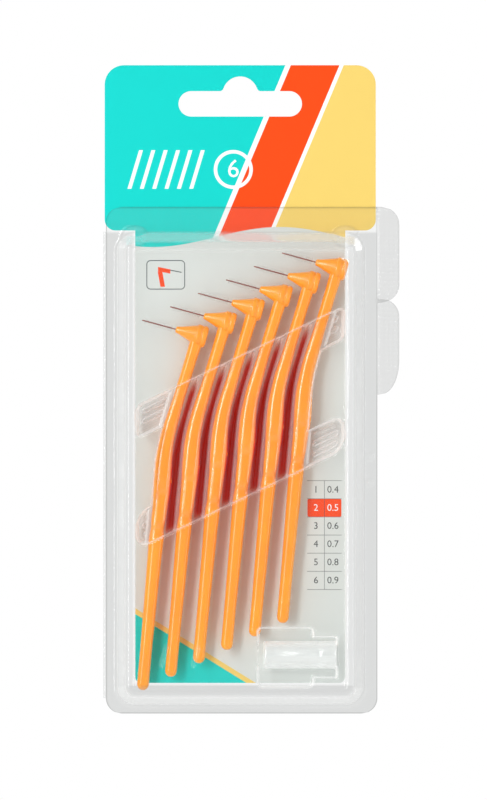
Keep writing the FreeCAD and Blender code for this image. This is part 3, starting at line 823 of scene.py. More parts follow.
@dataclass
class Brush:
    """One brush: handle with barrel, nose, twisted wire and filaments."""

    number: int
    head: np.ndarray
    line: HandleLine = field(default_factory=HandleLine)
    tilt: float = math.radians(15.2)
    barrel_half: float = 1.8
    barrel_radius: float = 2.85
    back_trim: float = 0.55
    back_round: float = 0.8
    groove_depth: float = 0.12
    nose_length: float = 5.3
    nose_base: float = 2.55
    nose_tip: float = 0.83
    grip_shift: float = 0.36
    wire_length: float = 9.1
    wire_anchor: float = 4.0
    strand_radius: float = 0.1
    twist_pitch: float = 0.95
    bristle_start: float = 0.9
    bristle_length: float = 7.4
    bristle_radius: float = 1.1
    bristle_thin: float = 0.9
    filaments: int = 260

    def on_head(self, patch: Patch) -> Patch:
        """Turns a patch from the wire's own axes to the head's tilt and sets it at the head.

        Args:
            patch: A patch along the X axis.

        Returns:
            The patch, turned about Y by the tilt and moved to the head.
        """
        cos, sin = math.cos(self.tilt), math.sin(self.tilt)
        x, y, z = patch.points.T
        points = np.stack([x * cos + z * sin, y, z * cos - x * sin], axis=-1)
        return Patch(points + self.head, patch.quads, patch.tris)

    def half_width(self, along: np.ndarray) -> np.ndarray:
        """Half the handle's width along its line.

        Args:
            along: Lengths from the head.

        Returns:
            Widths between stations, smoothed by a raised cosine: slim at the head, full at the grip,
            with a waist and a taper.
        """
        stations = np.array([0, 6, 16.5, 23.5, 28.5, 34, 37.5, 39.5,
                             44, 48.6, 50.8, 53.5, 57.5, 68, 82, 94])
        widths = np.array([1.7, 1.55, 1.53, 1.82, 1.92, 2.24, 2.36, 2.34,
                           2.06, 1.94, 1.7, 2.0, 1.88, 1.73, 1.55, 1.55])
        smooth = np.linspace(0, self.line.run, 600)
        raw = np.interp(smooth, stations, widths)
        kernel = np.hanning(15)
        padded = np.pad(raw, 7, mode="edge")
        return np.interp(along, smooth, np.convolve(padded, kernel / kernel.sum(), mode="valid"))

    def half_depth(self, along: np.ndarray) -> np.ndarray:
        """Half the handle's depth along its line.

        Args:
            along: Lengths from the head.

        Returns:
            Depths between stations, less a bell curve at the thumb dimple and one at the waist.
        """
        share = along / self.line.run
        base = np.interp(share, [0, 0.25, 0.4, 0.55, 1.0], [1.75, 2.1, 2.3, 2.1, 1.5])
        thumb = 0.65 * np.exp(-(((along - 41.6) / 2.0) ** 2))
        waist = 0.5 * np.exp(-(((along - 51.0) / 1.0) ** 2))
        return base - (thumb + waist)

    def handle_patch(self) -> Patch:
        """Handle: a rounded section carried along the line.

        Returns:
            Rows along the line, each a superellipse of power 2.7 in the plane square to the line.
            The last rows shrink as a quarter of a circle to close the end.
        """
        end = 1.7
        body = np.linspace(0, self.line.run - end, 210)
        cap = self.line.run - end + end * np.sin(np.linspace(0, math.pi / 2, 14)[1:])
        along = np.concatenate([body, cap])
        over = np.clip((along - (self.line.run - end)) / end, 0, 1)
        shrink = np.maximum((1 - over**2.1) ** (1 / 2.1), 0.02)
        x, z, lean = self.line.at(along)
        angle = np.linspace(0, 2 * math.pi, 40, endpoint=False)
        power = 2 / 2.7
        wide = np.sign(np.cos(angle)) * np.abs(np.cos(angle)) ** power
        deep = np.sign(np.sin(angle)) * np.abs(np.sin(angle)) ** power
        side = (self.half_width(along) * shrink)[:, None] * wide
        side = side + self.grip_shift * np.exp(-(((along - 41.0) / 8.0) ** 2))[:, None]
        points = np.stack([
            x[:, None] + side * np.cos(lean)[:, None],
            (self.half_depth(along) * shrink)[:, None] * deep,
            z[:, None] - side * np.sin(lean)[:, None],
        ], axis=-1)
        patch = grid_patch(points[::-1], wrap=True, ends=True)
        return Patch(patch.points + self.head, patch.quads, patch.tris)

    def barrel_patch(self) -> Patch:
        """Barrel: a short drum about the wire's line.

        Returns:
            A turned profile with a seat, a fine groove and a rounded back.
        """
        half, radius = self.barrel_half, self.barrel_radius
        rear = half - self.back_trim
        round_angle = np.linspace(0, math.pi / 2, 7)
        bend = self.back_round
        back = np.stack([
            rear - bend + bend * np.sin(round_angle),
            radius - bend + bend * np.cos(round_angle),
        ], axis=-1)
        low = radius - self.groove_depth
        groove = np.array([[-0.42, radius], [-0.34, low], [-0.16, low], [-0.08, radius]])
        seat = np.array([[-half, 0.3], [-half, radius - 0.22],
                         [-half + 0.08, radius - 0.08], [-half + 0.2, radius]])
        profile = np.concatenate([seat, groove, back, [[rear, 0.3]]])
        return self.on_head(turned_patch(profile, 56))

    def nose_patch(self) -> Patch:
        """Nose: a cone about the wire's line.

        Returns:
            A turned profile that swells a little towards its seat, with a rounded tip.
        """
        tip = -self.barrel_half - self.nose_length
        share = np.linspace(0, 1, 24)
        cone = np.stack([
            tip + 0.25 + (self.nose_length - 0.25) * share,
            self.nose_tip + (self.nose_base - self.nose_tip) * share**1.15,
        ], axis=-1)
        front = np.array([[tip, 0.18], [tip, self.nose_tip - 0.25], [tip + 0.08, self.nose_tip - 0.1]])
        rear = np.array([[-self.barrel_half + 0.4, self.nose_base - 0.1], [-self.barrel_half + 0.4, 0.3]])
        return self.on_head(turned_patch(np.concatenate([front, cone, rear]), 48))

    def wire_patches(self) -> list[Patch]:
        """Two strands twisted round the wire's line.

        Returns:
            Each strand is a circle carried along a helix; both end in a rounded tip.
        """
        tip = -self.barrel_half - self.nose_length
        along = np.linspace(tip - self.wire_length, tip + self.wire_anchor, 150)
        taper = np.clip((along - along[0]) / 0.25, 0.05, 1)[:, None]
        angle = np.linspace(0, 2 * math.pi, 8, endpoint=False)
        patches = []
        for start in (0, math.pi):
            turn = (2 * math.pi * along / self.twist_pitch + start)[:, None]
            reach = self.strand_radius * 0.95
            points = np.stack([
                np.broadcast_to(along[:, None], (len(along), 8)),
                reach * np.cos(turn) + self.strand_radius * taper * np.cos(angle),
                reach * np.sin(turn) + self.strand_radius * taper * np.sin(angle),
            ], axis=-1)
            patches.append(self.on_head(grid_patch(points, wrap=True, ends=True)))
        return patches

    def bristle_patch(self) -> Patch:
        """Filaments: thin three-sided spikes that leave the wire along a screw line.

        Returns:
            Filament i starts a share i of the way along the wire at the golden angle times i, and
            ends on a cone that is slimmer at the free end.
        """
        count = self.filaments
        share = (np.arange(count) + 0.5) / count
        start = -self.barrel_half - self.nose_length - self.bristle_start
        along = start - self.bristle_length * share
        reach = self.bristle_radius + (self.bristle_thin - self.bristle_radius) * share
        reach = reach * (0.86 + 0.13 * np.sin(np.arange(count) * 12.9898))
        angle = np.arange(count) * math.pi * (3 - math.sqrt(5))
        out = np.stack([np.full(count, -0.12), np.cos(angle), np.sin(angle)], axis=-1)
        side = np.stack([np.zeros(count), -np.sin(angle), np.cos(angle)], axis=-1)
        ahead = np.array([1.0, 0.0, 0.0])
        foot = np.stack([along, np.zeros(count), np.zeros(count)], axis=-1) + out * 0.12
        tip = foot + out * (reach - 0.12)[:, None]
        turn = np.arange(3) * 2 * math.pi / 3
        ring = np.cos(turn)[:, None, None] * side + np.sin(turn)[:, None, None] * ahead
        near = (foot + 0.028 * ring).transpose(1, 0, 2)
        far = (tip + 0.018 * ring).transpose(1, 0, 2)
        points = np.concatenate([near, far], axis=1).reshape(-1, 3)
        first = (np.arange(count) * 6)[:, None, None]
        sides = np.array([[0, 3, 4, 1], [1, 4, 5, 2], [2, 5, 3, 0]])
        caps = np.array([[0, 1, 2], [5, 4, 3]])
        return self.on_head(Patch(points, (first + sides).reshape(-1, 4), (first + caps).reshape(-1, 3)))

    def build(self, plastic: bpy.types.Material, wire: bpy.types.Material,
              filament: bpy.types.Material) -> None:
        """Makes the brush's four pieces and sets them on the front half.

        Args:
            plastic: Material of handle and nose.
            wire: Material of the wire.
            filament: Material of the bristles.
        """
        pieces = (
            ("handle", [self.handle_patch(), self.barrel_patch()], plastic, Slot.PLASTIC),
            ("nose", [self.nose_patch()], plastic, Slot.PLASTIC),
            ("wire", self.wire_patches(), wire, Slot.WIRE),
            ("bristles", [self.bristle_patch()], filament, Slot.FILAMENT),
        )
        for kind, patches, material, slot in pieces:
            piece = build_piece(f"brush_{kind}_{self.number}", patches, material)
            join_frame(piece, Half.FRONT, [f"{kind}_{self.number}"])


# Case


@dataclass
class CaseOutline:
    """Outline of the two halves of the case, in millimetres from the hang slot."""

    left: float
    right: float
    top: float
    bottom: float
    corner: float = 4.0
    tab_reach: float = 5.7
    tab_length: float = 24.7
    tab_lap: float = 0.9
    tab_corner: float = 4.6
    tab_slant: float = 4.2

    def left_edge(self, z: np.ndarray) -> np.ndarray:
        """X of the left edge.

        Args:
            z: Heights of the rows.

        Returns:
            A straight edge with a quarter circle at each end.
        """
        down = np.minimum(self.top - z, z - self.bottom)
        rest = np.clip(self.corner - down, 0, self.corner)
        return self.left + self.corner - np.sqrt(self.corner**2 - rest**2)

    def right_edge(self, z: np.ndarray, tab_top: float, slant: float) -> np.ndarray:
        """X of the right edge with a pull tab.

        Args:
            z: Heights of the rows.
            tab_top: Height of the tab's upper end.
            slant: How far the tab's lower edge slopes.

        Returns:
            The sheet's edge with a round lower corner, or the tab's where it reaches further. The
            tab has quarter circles at its ends, the lower one stretched by the slant.
        """
        rest = np.clip(self.corner - (z - self.bottom), 0, self.corner)
        sheet = self.right - self.corner + np.sqrt(self.corner**2 - rest**2)
        radius = self.tab_corner
        low = radius + slant
        below_top = np.clip(tab_top - z, 0, radius)
        above_low = np.clip(z - (tab_top - self.tab_length), 0, low) * radius / low
        reach = np.sqrt(radius**2 - (radius - np.minimum(below_top, above_low)) ** 2)
        tab = self.right + self.tab_reach - radius + reach
        inside = (z <= tab_top) & (z >= tab_top - self.tab_length)
        return np.where(inside, np.maximum(tab, sheet), sheet)


@dataclass
class CaseFilm:
    """Formed film of one half: a grid whose rows run across between the outline's edges."""

    outline: CaseOutline
    columns: int = 248
    rim_columns: int = 24
    fine_half: float = 27.5
    edge_width: float = 0.34

    def rows(self) -> np.ndarray:
        """Heights of the rows.

        Returns:
            Even steps between stops, close together where the film is formed.
        """
        top, bottom = self.outline.top, self.outline.bottom
        stops = [(top, 0.6), (top - 4.3, 0.35), (top - 12.5, 1.2), (top - 20.0, 0.36), (top - 90.5, 1.2),
                 (top - 107.0, 0.45), (bottom + 6.0, 0.35), (bottom, 1.0)]
        parts = []
        for (start, step), (stop, _) in zip(stops, stops[1:]):
            parts.append(np.linspace(start, stop, max(2, round((start - stop) / step)), endpoint=False))
        return np.concatenate([*parts, [bottom]])

    def sheet(self, z: np.ndarray, left: np.ndarray, right: np.ndarray) -> tuple[np.ndarray, np.ndarray]:
        """X and Z of the grid.

        Args:
            z: Heights of the rows.
            left: X of the left edge in each row.
            right: X of the right edge in each row.

        Returns:
            Even columns in the window, and columns stretched to the edges beside it.
        """
        middle = np.linspace(-self.fine_half, self.fine_half, self.columns)
        rim = np.linspace(0, 1, self.rim_columns, endpoint=False)
        near = left[:, None] + (-self.fine_half - left)[:, None] * rim
        far = self.fine_half + (right - self.fine_half)[:, None] * (1 - rim[::-1])
        x = np.concatenate([near, np.repeat(middle[None], len(z), axis=0), far], axis=1)
        return x, np.repeat(z[:, None], x.shape[1], axis=1)

    def edge_shade_marks(self, x: np.ndarray, z: np.ndarray, left: np.ndarray, right: np.ndarray) -> np.ndarray:
        """Share of painted dark line at the cut edge.

        Args:
            x: X of the points.
            z: Z of the points.
            left: X of the left edge in each row.
            right: X of the right edge in each row.

        Returns:
            One on the outline, falling to none at the edge's width inside it.
        """
        ends = np.minimum(self.outline.top - z, z - self.outline.bottom)
        away = np.minimum(np.minimum(x - left[:, None], right[:, None] - x), ends)
        return np.clip(1 - away / self.edge_width, 0, 1)


@dataclass
class FrontFilm(CaseFilm):
    """Front half: flange, bubble with its window, slanted bars, channels, cap pocket and bosses."""

    line: HandleLine = field(default_factory=HandleLine)
    heads: Sequence[np.ndarray] = ()
    cap_low: Optional[np.ndarray] = None
    cap_high: Optional[np.ndarray] = None
    flange_depth: float = 0.38
    bubble_depth: float = 9.0
    side_flange: float = 3.4
    top_flange: float = 6.6
    foot_flange: float = 2.2
    bubble_corner: float = 5.0
    wall_run: float = 2.75
    rim: float = 1.9
    recess: float = 0.8
    floor: float = 1.0
    upper_fall: float = 9.7
    upper_height: float = 8.6
    lower_fall: float = 46.8
    lower_height: float = 9.4
    bar_margin: float = 0.7
    crest: float = 6.36
    channel_half: float = 2.98
    pocket_floor: float = 5.6
    pocket_reach: float = 15.0
    pocket_height: float = 15.8
    lug_reach: float = 6.1
    lug_height: float = 11.2
    pocket_lift: float = 0.5
    cap_room: float = 0.55
    pocket_room: float = 1.75
    painted_warm_run: float = 33.0
    rib_pitch: float = 2.7
    rib_rise: float = 0.9
    arch_power: float = 2.6
    dent_depth: float = 0.42
    dent_drops: tuple[float, float] = (41.0, 50.2)
    boss_inset: float = 4.9
    boss_drop: float = 1.2
    boss_stretch: float = 1.25
    boss_rise: float = 3.4
    boss_sink: float = 0.8
    boss_ring: float = 2.8
    tail_ribs: tuple[float, float] = (-19.8, -11.6)
    tail_level: float = -142.8
    tail_half: float = 2.3
    stud_drops: tuple[float, float] = (64.5, 71.2)

    def bubble_box(self) -> tuple[tuple[float, float], tuple[float, float]]:
        """Foot of the bubble.

        Returns:
            Its middle and its half sizes.
        """
        half = self.outline.right - self.side_flange
        top = self.outline.top - self.top_flange
        bottom = self.outline.bottom + self.foot_flange
        return (0.0, (top + bottom) / 2), (half, (top - bottom) / 2)

    def row_slope(self) -> float:
        """Rise of the row of heads for each millimetre across."""
        first, last = self.heads[0], self.heads[-1]
        return (last[2] - first[2]) / (last[0] - first[0])

    def bar_depths(self, x: np.ndarray, z: np.ndarray, reach: float) -> np.ndarray:
        """How far points lie inside the sunk bars and the sunk middle between the handles.

        Args:
            x: X of the points.
            z: Z of the points.
            reach: Half length of the bars.

        Returns:
            The largest of three depths: two rounded boxes in axes sheared along the row of heads,
            and the strip between the first and the last handle.
        """
        first, last = self.heads[0], self.heads[-1]
        slope = self.row_slope()
        scale = math.cos(math.atan(slope))
        level = (z - first[2] - (x - first[0]) * slope) * scale
        upper = depth_in_box(x, level, (0, -(self.upper_fall + self.upper_height / 2) * scale),
                             (reach, self.upper_height / 2 * scale), 1.4)
        lower = depth_in_box(x, level, (0, -(self.lower_fall - self.lower_height / 2) * scale),
                             (reach, self.lower_height / 2 * scale), 3.2)
        left = x - first[0] - self.line.across(first[2] - z)[0]
        right = last[0] + self.line.across(last[2] - z)[0] - x
        span = self.channel_half - 0.9
        between = np.minimum(left + span, right + span)
        middle = np.minimum(between, np.minimum(-level - (self.upper_fall + 1) * scale,
                                                level + (self.lower_fall - 1) * scale))
        return np.maximum(np.maximum(upper, lower), middle)

    def channel_heights(self, x: np.ndarray, z: np.ndarray) -> np.ndarray:
        """Height of the channels over the handles.

        Args:
            x: X of the points.
            z: Z of the points.

        Returns:
            A rounded arch about each line, a superellipse, with shallow dents at the thumb and the waist.
        """
        heights = np.zeros_like(x)
        for head in self.heads:
            across, lean = self.line.across(head[2] - z)
            away = np.abs(x - head[0] - across) * np.cos(lean)
            arch = np.maximum(1 - (away / self.channel_half) ** self.arch_power, 0) ** (1 / self.arch_power)
            dents = sum(np.exp(-(((head[2] - z - drop) / 0.9) ** 2)) for drop in self.dent_drops)
            rise = self.crest - self.dent_depth * dents - self.floor
            heights = np.maximum(heights, self.floor + rise * arch)
        return heights

    def boss_reach(self, x: np.ndarray, z: np.ndarray, side: int) -> np.ndarray:
        """Distance from a corner boss's middle, in axes that make its oval a circle.

        Args:
            x: X of the points.
            z: Z of the points.
            side: -1 for the left boss, 1 for the right one.

        Returns:
            The distances.
        """
        middle = side * (self.bubble_box()[1][0] - self.boss_inset)
        level = self.outline.top - self.top_flange - self.boss_drop
        return np.hypot((x - middle) / self.boss_stretch, z - level)

    def pocket(self, x: np.ndarray, z: np.ndarray, depth: np.ndarray) -> np.ndarray:
        """Sinks the finger pocket round the cap and leaves a round hump over the cap.

        Args:
            x: X of the points.
            z: Z of the points.
            depth: Depth of the film before.

        Returns:
            The depth after: the pocket's floor by two rounded boxes, or the hump's circle about
            the cap's axis where that stands higher.
        """
        left = self.cap_low[0] - self.pocket_room
        axis = (self.cap_low + self.cap_high) / 2
        radius = (self.cap_high[2] - self.cap_low[2]) / 2 + self.cap_room
        middle = axis[2] - self.pocket_lift
        main = depth_in_box(x, z, (left + self.pocket_reach / 2, middle),
                            (self.pocket_reach / 2, self.pocket_height / 2), 1.6)
        lug = depth_in_box(x, z, (left + self.pocket_reach + self.lug_reach / 2 - 1, middle),
                           (self.lug_reach / 2 + 1, self.lug_height / 2), 0.8)
        inside = soft_step(np.maximum(main, lug) / 0.7)
        arc = np.sqrt(np.maximum(radius**2 - (z - axis[2]) ** 2, 0))
        hump = np.where(arc > 0, arc - axis[1], 0)
        return depth + inside * (np.maximum(self.pocket_floor, np.minimum(hump, depth)) - depth)

    def depth(self, x: np.ndarray, z: np.ndarray) -> np.ndarray:
        """Depth of the film in front of the parting plane.

        Args:
            x: X of the points.
            z: Z of the points.

        Returns:
            The flange, raised by the wall to the crown, sunk at the window, the bars and the
            pocket, and raised again over the handles, at the corner bosses and the studs.
        """
        centre, half = self.bubble_box()
        inside = depth_in_box(x, z, centre, half, self.bubble_corner)
        rise = self.bubble_depth - self.flange_depth
        depth = self.flange_depth + rise * soft_step(inside / self.wall_run, 0.07)
        window = self.wall_run + self.rim
        depth = depth - self.recess * soft_step((inside - window) / 0.5)
        base = depth
        bars = self.bar_depths(x, z, half[0] - window - self.bar_margin)
        phase = 2 * math.pi * (z - x * self.row_slope()) / self.rib_pitch
        ribs = self.rib_rise * (1 + np.cos(phase))
        ribs = ribs * soft_step((np.abs(x) - 18.5) / 0.8) * soft_step((bars - 1.2) / 0.6)
        sunk = soft_step(bars / 0.55)
        depth = depth + sunk * (self.floor + ribs - depth)
        arches = np.minimum(self.channel_heights(x, z), base)
        depth = np.where(sunk > 0.01, np.maximum(depth, arches), depth)
        depth = self.pocket(x, z, depth)
        for side in (-1, 1):
            away = self.boss_reach(x, z, side)
            boss = self.boss_rise * soft_step((3.0 - away) / 2.4, 0.1)
            depth = np.maximum(depth, self.flange_depth + boss)
            sink = self.boss_sink * soft_step((self.boss_ring - away) / 0.9)
            depth = depth - sink * soft_step((inside - 1.2) / 1.2)
        for place in self.tail_ribs:
            above = z - self.tail_level
            along = np.clip(above, -self.tail_half, self.tail_half)
            away = np.hypot(x - place - 0.28 * along, above - along)
            depth = depth - 0.45 * soft_step((0.55 - away) / 0.4)
        for drop in self.stud_drops:
            away = np.hypot(x - (self.outline.right - 1.9), z - (self.outline.top - drop))
            depth = depth + 0.7 * soft_step((1.15 - away) / 0.5)
        return depth

    def marks(self, x: np.ndarray, z: np.ndarray, edge: np.ndarray) -> np.ndarray:
        """Shares that the film's material reads.

        Args:
            x: X of the points.
            z: Z of the points.
            edge: Share of cut edge.

        Returns:
            Flat flange by the place outside the bubble, with a painted shade band along the bubble's foot;
            painted red light and shade between two handles by the place across the gap and along the
            handles, and faintly in the bars; painted sheen on steep walls by the slope of the depth; and
            painted dark lines at the creases and round the bosses.
        """
        # Painted sheen: a share by the slope of the depth, less on the bubble's own walls.
        step = 0.12
        across = self.depth(x + step, z) - self.depth(x - step, z)
        up = self.depth(x, z + step) - self.depth(x, z - step)
        painted_sheen = np.clip((np.hypot(across, up) / (2 * step) - 0.5) / 2.2, 0, 1)
        centre, half = self.bubble_box()
        inside = depth_in_box(x, z, centre, half, self.bubble_corner)
        painted_sheen = painted_sheen * np.where(inside < self.wall_run + 0.3, 0.4, 1.0)
        on_card = (np.abs(x) < self.outline.right - 0.4) & (z > self.outline.top - self.top_flange)
        level = np.where(x > self.outline.right, 1.0, np.where(on_card, 0.0, 0.35))
        flat = soft_step((0.3 - inside) / 0.6) * level
        # Painted shade: a darker band along the bubble's foot, carried by the flange tint.
        foot = soft_step((self.outline.bottom + self.foot_flange + 5.6 - z) / 0.3)
        flat = np.maximum(flat, 0.6 * foot * soft_step((inside - self.wall_run) / 0.4))
        # Painted red light and shade between two handles: strongest in the sunk band, fading below the
        # lower bar, with less painted sheen in each gap.
        painted_warm = np.zeros_like(x)
        for head, after in zip(self.heads, self.heads[1:]):
            here = head[0] + self.line.across(head[2] - z)[0] + 2.1
            there = after[0] + self.line.across(after[2] - z)[0] - 2.1
            share = (x - here) / (there - here)
            gap = soft_step((x - here) / 0.35) * soft_step((there - x) / 0.35)
            drop = head[2] + (after[2] - head[2]) / (after[0] - head[0]) * (x - head[0]) - z
            band = soft_step((drop - self.upper_fall - 0.6) / 3.0)
            fall = np.clip((drop - self.lower_fall) / self.painted_warm_run, 0, 1)
            band = band * (1 - fall**2 * (3 - 2 * fall)) ** 0.35
            band = band * (1 - 0.75 * soft_step((drop - self.lower_fall + 1.6) / 1.4))
            painted_warm = np.maximum(painted_warm, gap * band * (1.0 - 0.12 * np.clip(share, 0, 1)))
            core = soft_step((x - here + 0.1) / 0.2) * soft_step((there - 0.42 - x) / 0.2)
            painted_sheen = painted_sheen * (1 - core * np.minimum(1, 1.4 * band))
        # Painted dark lines at the bubble's creases and round the bosses.
        for place, share in ((0.0, 0.4), (self.wall_run, 0.2), (self.wall_run + self.rim + 0.3, 0.3)):
            edge = np.maximum(edge, share * np.exp(-(((inside - place) / 0.2) ** 2)))
        for side in (-1, 1):
            ring = (self.boss_reach(x, z, side) - self.boss_ring) / 0.22
            edge = np.maximum(edge, 0.4 * np.exp(-(ring**2)))
        bars = self.bar_depths(x, z, half[0] - self.wall_run - self.rim - self.bar_margin)
        # A faint painted warm tint in the bars.
        painted_warm = np.maximum(painted_warm, 0.05 * soft_step(bars / 0.8))
        return np.stack([flat, painted_warm, painted_sheen, edge], axis=-1)

    def build(self, material: bpy.types.Material) -> None:
        """Makes the front half's film.

        Args:
            material: The clear film.
        """
        z = self.rows()
        left, right = self.outline.left_edge(z), self.outline.right_edge(z, self.outline.top, 0.0)
        x, z = self.sheet(z, left, right)
        depth = self.depth(x, z)
        points = np.stack([x, -depth, z], axis=-1)
        # Painted dark line along the cut edge, added to the marks.
        marks = self.marks(x, z, self.edge_shade_marks(x, z, left, right))
        piece = build_piece("front_film", [grid_patch(points[::-1])], material, marks[::-1])
        join_frame(piece, Half.FRONT, ["front_shell"])


@dataclass
class BackFilm(CaseFilm):
    """Back half: flange with a shallow tray behind the card, and the lower pull tab."""

    tongue_half: float = 27.6
    tongue_foot: float = -150.4
    header_foot: float = -33.2
    flange_depth: float = 0.38
    tray_depth: float = 0.9

    def rows(self) -> np.ndarray:
        """Heights of the rows, evenly spaced."""
        return np.linspace(self.outline.top, self.outline.bottom, 300)

    def build(self, material: bpy.types.Material) -> None:
        """Makes the back half's film.

        Args:
            material: The clear film.
        """
        outline = self.outline
        z = self.rows()
        tab_top = outline.top - outline.tab_length + outline.tab_lap
        left, right = outline.left_edge(z), outline.right_edge(z, tab_top, outline.tab_slant)
        x, z = self.sheet(z, left, right)
        tongue = np.minimum(self.tongue_half - np.abs(x), z - self.tongue_foot)
        tray = np.maximum(tongue, z - self.header_foot)
        depth = self.flange_depth + (self.tray_depth - self.flange_depth) * soft_step((tray + 0.4) / 0.6)
        points = np.stack([x, depth, z], axis=-1)
        flat = (1 - soft_step((tray + 0.4) / 0.6)) * np.where(x > outline.right, 1.0, 0.75)
        # Painted dark line along the cut edge.
        edge = self.edge_shade_marks(x, z, left, right)
        marks = np.stack([flat, np.zeros_like(x), np.zeros_like(x), edge], axis=-1)
        piece = build_piece("back_film", [grid_patch(points)], material, marks)
        join_frame(piece, Half.REAR, ["back_shell"])


# Cap


@dataclass
class Cap:
    """Clear cap for a brush head: a tube closed at the left, with a collar and a lip."""

    low: np.ndarray
    high: np.ndarray
    wall: float = 0.55
    groove_depth: float = 0.12

    def build(self, material: bpy.types.Material) -> None:
        """Makes the cap as a profile turned about its axis.

        Args:
            material: The clear plastic.
        """
        radius = (self.high[2] - self.low[2]) / 2
        length = self.high[0] - self.low[0]
        bore = radius - self.wall
        curve = np.linspace(0, math.pi / 2, 7)
        nose = np.stack([0.9 - 0.9 * np.cos(curve), radius - 0.9 + 0.9 * np.sin(curve)], axis=-1)
        low = radius - self.groove_depth
        outer = np.array([[length * 0.74, radius], [length * 0.75, low], [length * 0.77, low],
                          [length * 0.78, radius], [length - 0.2, radius], [length, radius - 0.15]])
        inner = np.array([[length, bore + 0.2], [length - 1.4, bore], [self.wall + 0.5, bore],
                          [self.wall, bore - 0.5], [self.wall, 0.05]])
        start = np.array([[0.0, 0.05]])
        patch = turned_patch(np.concatenate([start, nose, outer, inner]), 64)
        centre = np.array([self.low[0], (self.low[1] + self.high[1]) / 2, (self.low[2] + self.high[2]) / 2])
        piece = build_piece("clear_cap", [Patch(patch.points + centre, patch.quads, patch.tris)], material)
        join_frame(piece, Half.FRONT, ["cap"])


# Card


@dataclass(frozen=True)
class SizeTable:
    """Printed table of plain numbers at the right of the card."""

    middle: float = 21.8
    top: float = -97.6
    pitch: float = 4.7
    rows: int = 6
    half_width: float = 4.4
    line: float = 0.07
    chosen: int = 1

    def height(self) -> float:
        """Whole height."""
        return self.pitch * self.rows

    def centre(self) -> float:
        """Height of the middle."""
        return self.top - self.height() / 2

    def row_middle(self, row: int) -> tuple[float, float]:
        """Middle of a row."""
        return self.middle, self.top - (row + 0.5) * self.pitch

    def row_half(self) -> tuple[float, float]:
        """Half sizes of a row."""
        return self.half_width, self.pitch / 2

    def entries(self) -> list[tuple[str, float, float]]:
        """Numbers of the table.

        Returns:
            Each number with its place in X and Z.
        """
        listed = []
        for row in range(self.rows):
            height = self.row_middle(row)[1]
            listed.append((str(row + 1), self.middle - self.half_width / 2, height))
            listed.append((f"{0.4 + 0.1 * row:.1f}", self.middle + self.half_width / 2, height))
        return listed


@dataclass
class CardPrint:
    """Printed card: its board material and the numbers printed on it."""

    table: SizeTable = field(default_factory=SizeTable)
    number_size: float = 2.5
    large_size: float = 6.6
    large_place: tuple[float, float] = (-1.8, -17.0)
    ink_lift: float = 0.015

    def number_patch(self, text: str, size: float, x: float, z: float, face: float) -> Patch:
        """Outline of a number as flat faces, from Blender's own letter shapes.

        Args:
            text: The number.
            size: Its height in millimetres.
            x: Middle in X.
            z: Middle in Z.
            face: Y of the print.

        Returns:
            The faces, turned to stand upright and face forwards.
        """
        curve = bpy.data.curves.new("number", "FONT")
        curve.body = text
        curve.size = size
        curve.align_x = "CENTER"
        curve.align_y = "CENTER"
        curve.resolution_u = 3
        letters = bpy.data.objects.new("number", curve)
        bpy.context.scene.collection.objects.link(letters)
        graph = bpy.context.evaluated_depsgraph_get()
        mesh = bpy.data.meshes.new_from_object(letters.evaluated_get(graph))
        mesh.calc_loop_triangles()
        points = np.zeros(len(mesh.vertices) * 3)
        mesh.vertices.foreach_get("co", points)
        tris = np.zeros(len(mesh.loop_triangles) * 3, int)
        mesh.loop_triangles.foreach_get("vertices", tris)
        bpy.data.objects.remove(letters)
        bpy.data.curves.remove(curve)
        bpy.data.meshes.remove(mesh)
        across, up, _ = points.reshape(-1, 3).T
        placed = np.stack([across + x, np.full(len(across), face), up + z], axis=-1)
        return Patch(placed, np.zeros((0, 4), int), tris.reshape(-1, 3))

    def build(self, finish: CardFinish) -> None:
        """Dresses the card and prints the numbers.

        Args:
            finish: The board.
        """
        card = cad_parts["hang_card"]
        card.data.materials.clear()
        card.data.materials.append(finish.material(self.table))
        log.info("hang_card: dressed on %s", Half.REAR.value)
        face = box_mm("hang_card")[0][1] - self.ink_lift
        dark = []
        pale = [self.number_patch("6", self.large_size, *self.large_place, face)]
        for row, (text, x, z) in enumerate(self.table.entries()):
            patch = self.number_patch(text, self.number_size, x, z, face)
            (pale if row // 2 == self.table.chosen else dark).append(patch)
        prints = (
            ("card_numbers", dark, InkFinish("dark_ink", linear(44, 52, 54))),
            ("card_pale_numbers", pale, InkFinish("pale_ink", linear(250, 250, 250))),
        )
        for name, patches, ink in prints:
            piece = build_piece(name, patches, ink.material())
            join_frame(piece, Half.REAR)


# Studio


